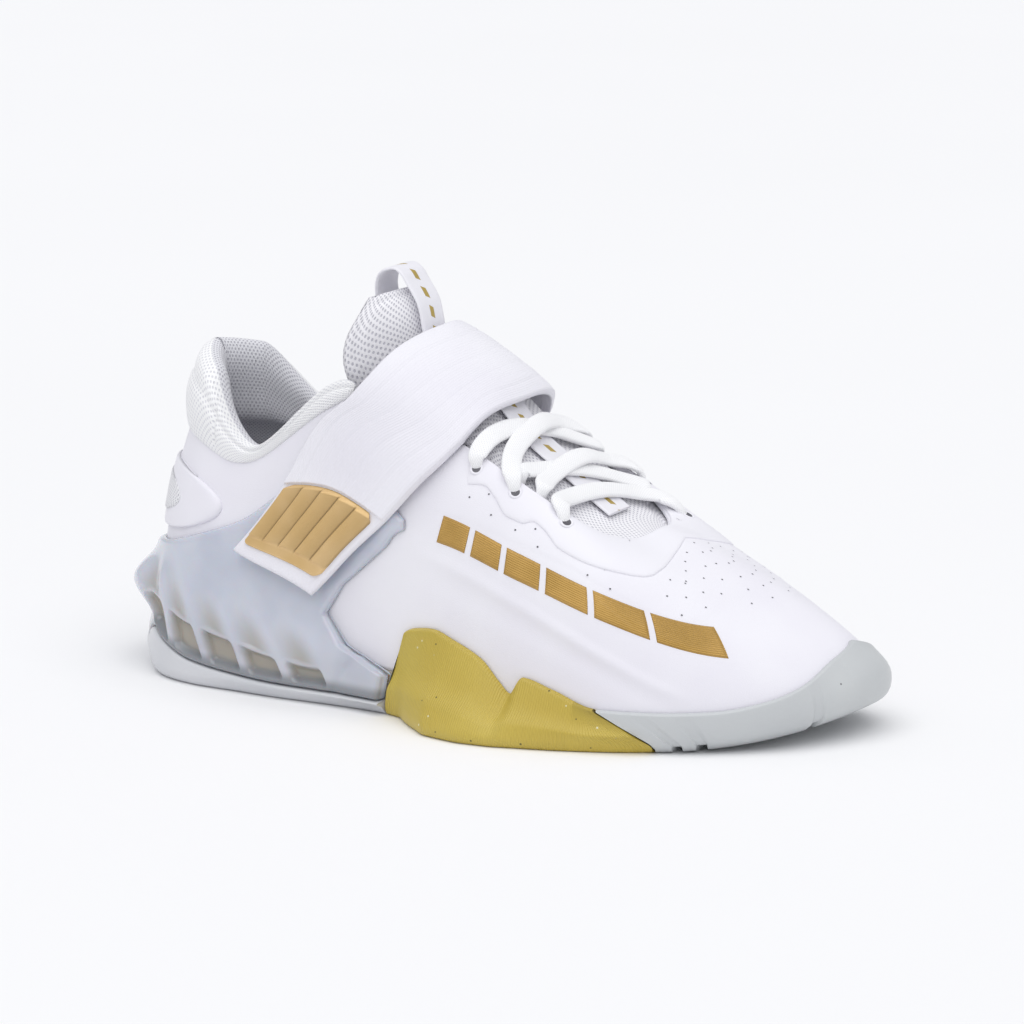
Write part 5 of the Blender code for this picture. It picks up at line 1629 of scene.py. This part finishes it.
cut = GAP / (0.12 * LENGTH)
LOW_SIDE = (WIDTH_OUT * BALL_WIDTH, 0.0, 0.0)
RIDGED_SIDE = (WIDTH_OUT * BALL_WIDTH, 0.0, 0.0012)
HEEL_SIDE = (0.0072, 0.0064, 0.0)
make_outsole("forefoot_rubber", "outsole_forefoot", FOREFOOT_RIM, 0.0, FOREFOOT_END, (0.0, SLANT),
             LOW_SIDE, GREY_RUBBER, 160, lugs=True)
make_outsole("outrigger_rubber", "outsole_midfoot", MIDFOOT_RIM, FOREFOOT_END + 4 * cut, MIDFOOT_END,
             (SLANT, REAR_SLANT), RIDGED_SIDE, YELLOW_RUBBER, 200)
make_outsole("heel_rubber", "outsole_heel", HEEL_RIM, MIDFOOT_END + 2 * cut, HEEL, (0.0, 0.0),
             HEEL_SIDE, HEEL_RUBBER, 160)

# %% [markdown]
# ## Heel overlay, foot bed and foam core
#
# An oval pad with a mesh window sits low on the back of the heel. Inside, a cloth-covered
# foot bed lies on the foam core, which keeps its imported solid.

# %% Heel overlay
COUNTER_MIDDLE = 0.644
COUNTER_HALF_HEIGHT = 0.126
COUNTER_HALF_RINGS = 1.0
OVAL_STRETCH = 1.5
OVAL_SQUAT = 0.84
OVAL_DROP = 0.0080


def oval(name, size, lift, thick, finish):
    """Pad on the back of the heel: a square grid pulled to a disc, then wrapped on the side.

    A square's point (u, v) goes to (u * sqrt(1 - v * v / 2), v * sqrt(1 - u * u / 2)).
    """
    u = np.linspace(-1.0, 1.0, 48)[None, :]
    v = np.linspace(-1.0, 1.0, 36)[:, None]
    x, y = u * np.sqrt(1 - v * v / 2), v * np.sqrt(1 - u * u / 2)
    rim_place = 1 - np.maximum(np.abs(u), np.abs(v))
    round_off = np.sqrt(1 - (1 - np.clip(rim_place / 0.14, 0.0, 1.0)) ** 2)
    rings = HEEL + OVAL_STRETCH * COUNTER_HALF_RINGS * size * x
    heights = (COUNTER_MIDDLE + OVAL_SQUAT * COUNTER_HALF_HEIGHT * size * y) * COLLAR_HEIGHT - OVAL_DROP
    outer = side(rings, heights, lift + thick * (0.1 + 0.9 * round_off))
    inner = side(rings, heights, lift - 0.0004)
    return make_layer(name, outer, inner, finish)


pad = oval("heel_oval", 1.08, GAP, COUNTER, OVERLAY_WHITE)
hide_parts("heel_counter")
window = oval("heel_window", 0.64, GAP + COUNTER, 0.0005, PATCH_KNIT)
print("heel overlay faces:", len(pad.data.polygons), "window faces:", len(window.data.polygons))

# %% Foot bed and foam core
BED_CUP = 0.0012
stations = np.linspace(0.0, HEEL, 120)
across = np.linspace(0.0, 1.0, 24)
spine = spine_at(stations)
beds = []
for hand in (-1, 1):
    at = ring_of(stations, hand)
    edges = np.stack([side(at, spine[:, 2] + rise, -(WALL + 5 * GAP)) for rise in (0.0, INSOLE + 0.0030)])
    nearer = np.linalg.norm((edges - spine)[..., :2], axis=2).argmin(axis=0)
    edge = edges[nearer, np.arange(len(nearer))]
    row = spine[:, None] + (edge - spine)[:, None] * across[None, :, None]
    row[..., 2] = spine[:, None, 2] + 4 * GAP + INSOLE + BED_CUP * across[None, :] ** 4
    beds.append(row)
top = np.concatenate([beds[0][:, ::-1], beds[1][:, 1:]], axis=1)
below = top.copy()
below[..., 2] = spine[:, None, 2] + 4 * GAP
bed = make_layer("foot_bed", top, below, LINING_KNIT)
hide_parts("insole")
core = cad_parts["midsole"]
core.data.materials.clear()
core.data.materials.append(FOAM)
print("foot bed faces:", len(bed.data.polygons))

# %% [markdown]
# ## Floor, light and camera
#
# The shoe stands on a pale floor under broad studio light: a bright surround gives most of
# it, a very wide soft key from overhead shapes the form, and a long strip box low in front
# adds gloss to the plastic. The camera looks from the toe side of the outer flank, a
# little above, through a long lens.

# %% Floor
sheet = Finish("studio floor", linear(245, 245, 246), 0.9, Specular_IOR_Level=0.1)
cloud = sheet.use(grain_group, sheet.place, 300.0, 2.0)
paper = sheet.done(sheet.tint(cloud["Drift"], linear(245, 245, 246), linear(244, 244, 245)))
FLOOR_HALF = 12
corners = [(x * FLOOR_HALF, y * FLOOR_HALF, 0) for x, y in ((-1, -1), (1, -1), (1, 1), (-1, 1))]
floor_mesh = bpy.data.meshes.new("floor")
floor_mesh.from_pydata(corners, [], [(0, 1, 2, 3)])
floor_mesh.materials.append(paper)
floor = add_object("floor", floor_mesh)

# %% Light
world = bpy.data.worlds.new("studio")
bpy.context.scene.world = world
world.use_nodes = True
surround = world.node_tree.nodes["Background"]
surround.inputs["Color"].default_value = (0.96, 0.97, 1.0, 1.0)
surround.inputs["Strength"].default_value = 0.57

soft_key = bpy.data.lights.new("soft key", "SUN")
soft_key.energy = 1.62
soft_key.angle = math.radians(70)
key = add_object("soft key", soft_key)
key.rotation_euler = (math.radians(15), math.radians(9), 0.0)

strip_light = bpy.data.lights.new("strip box", "AREA")
strip_light.shape = "RECTANGLE"
strip_light.size, strip_light.size_y = 1.4, 0.10
strip_light.energy = 0.9
strip_light.diffuse_factor = 0.1
strip = add_object("strip box", strip_light)
strip.location = (0.1, -1.5, 1.1)
strip.rotation_euler = (math.radians(54), 0.0, math.radians(4))
bpy.context.scene.view_settings.view_transform = "Standard"
print("lights:", soft_key.name, soft_key.energy, "/", strip_light.name, strip_light.energy)

# %% Camera
AZIMUTH = math.radians(28.7)
ELEVATION = math.radians(12.5)
DISTANCE = 1.831
LOOK_AT = SHIFT + np.array([-0.0081, 0.0290, 0.0631])
right = np.array([math.cos(AZIMUTH), math.sin(AZIMUTH), 0.0])
front = np.array([math.sin(AZIMUTH), -math.cos(AZIMUTH), 0.0])
back = front * math.cos(ELEVATION) + np.array([0.0, 0.0, math.sin(ELEVATION)])
up = np.cross(back, right)
lens = bpy.data.cameras.new("camera")
lens.lens = 171.6
lens.sensor_width = 36.0
lens.clip_end = 60.0
camera = add_object("camera", lens)
camera.location = LOOK_AT + back * DISTANCE
camera.rotation_mode = "QUATERNION"
camera.rotation_quaternion = Matrix(np.stack([right, up, back], axis=1).tolist()).to_quaternion()
bpy.context.scene.camera = camera
print("camera's distance in m:", DISTANCE, "lens in mm:", lens.lens)
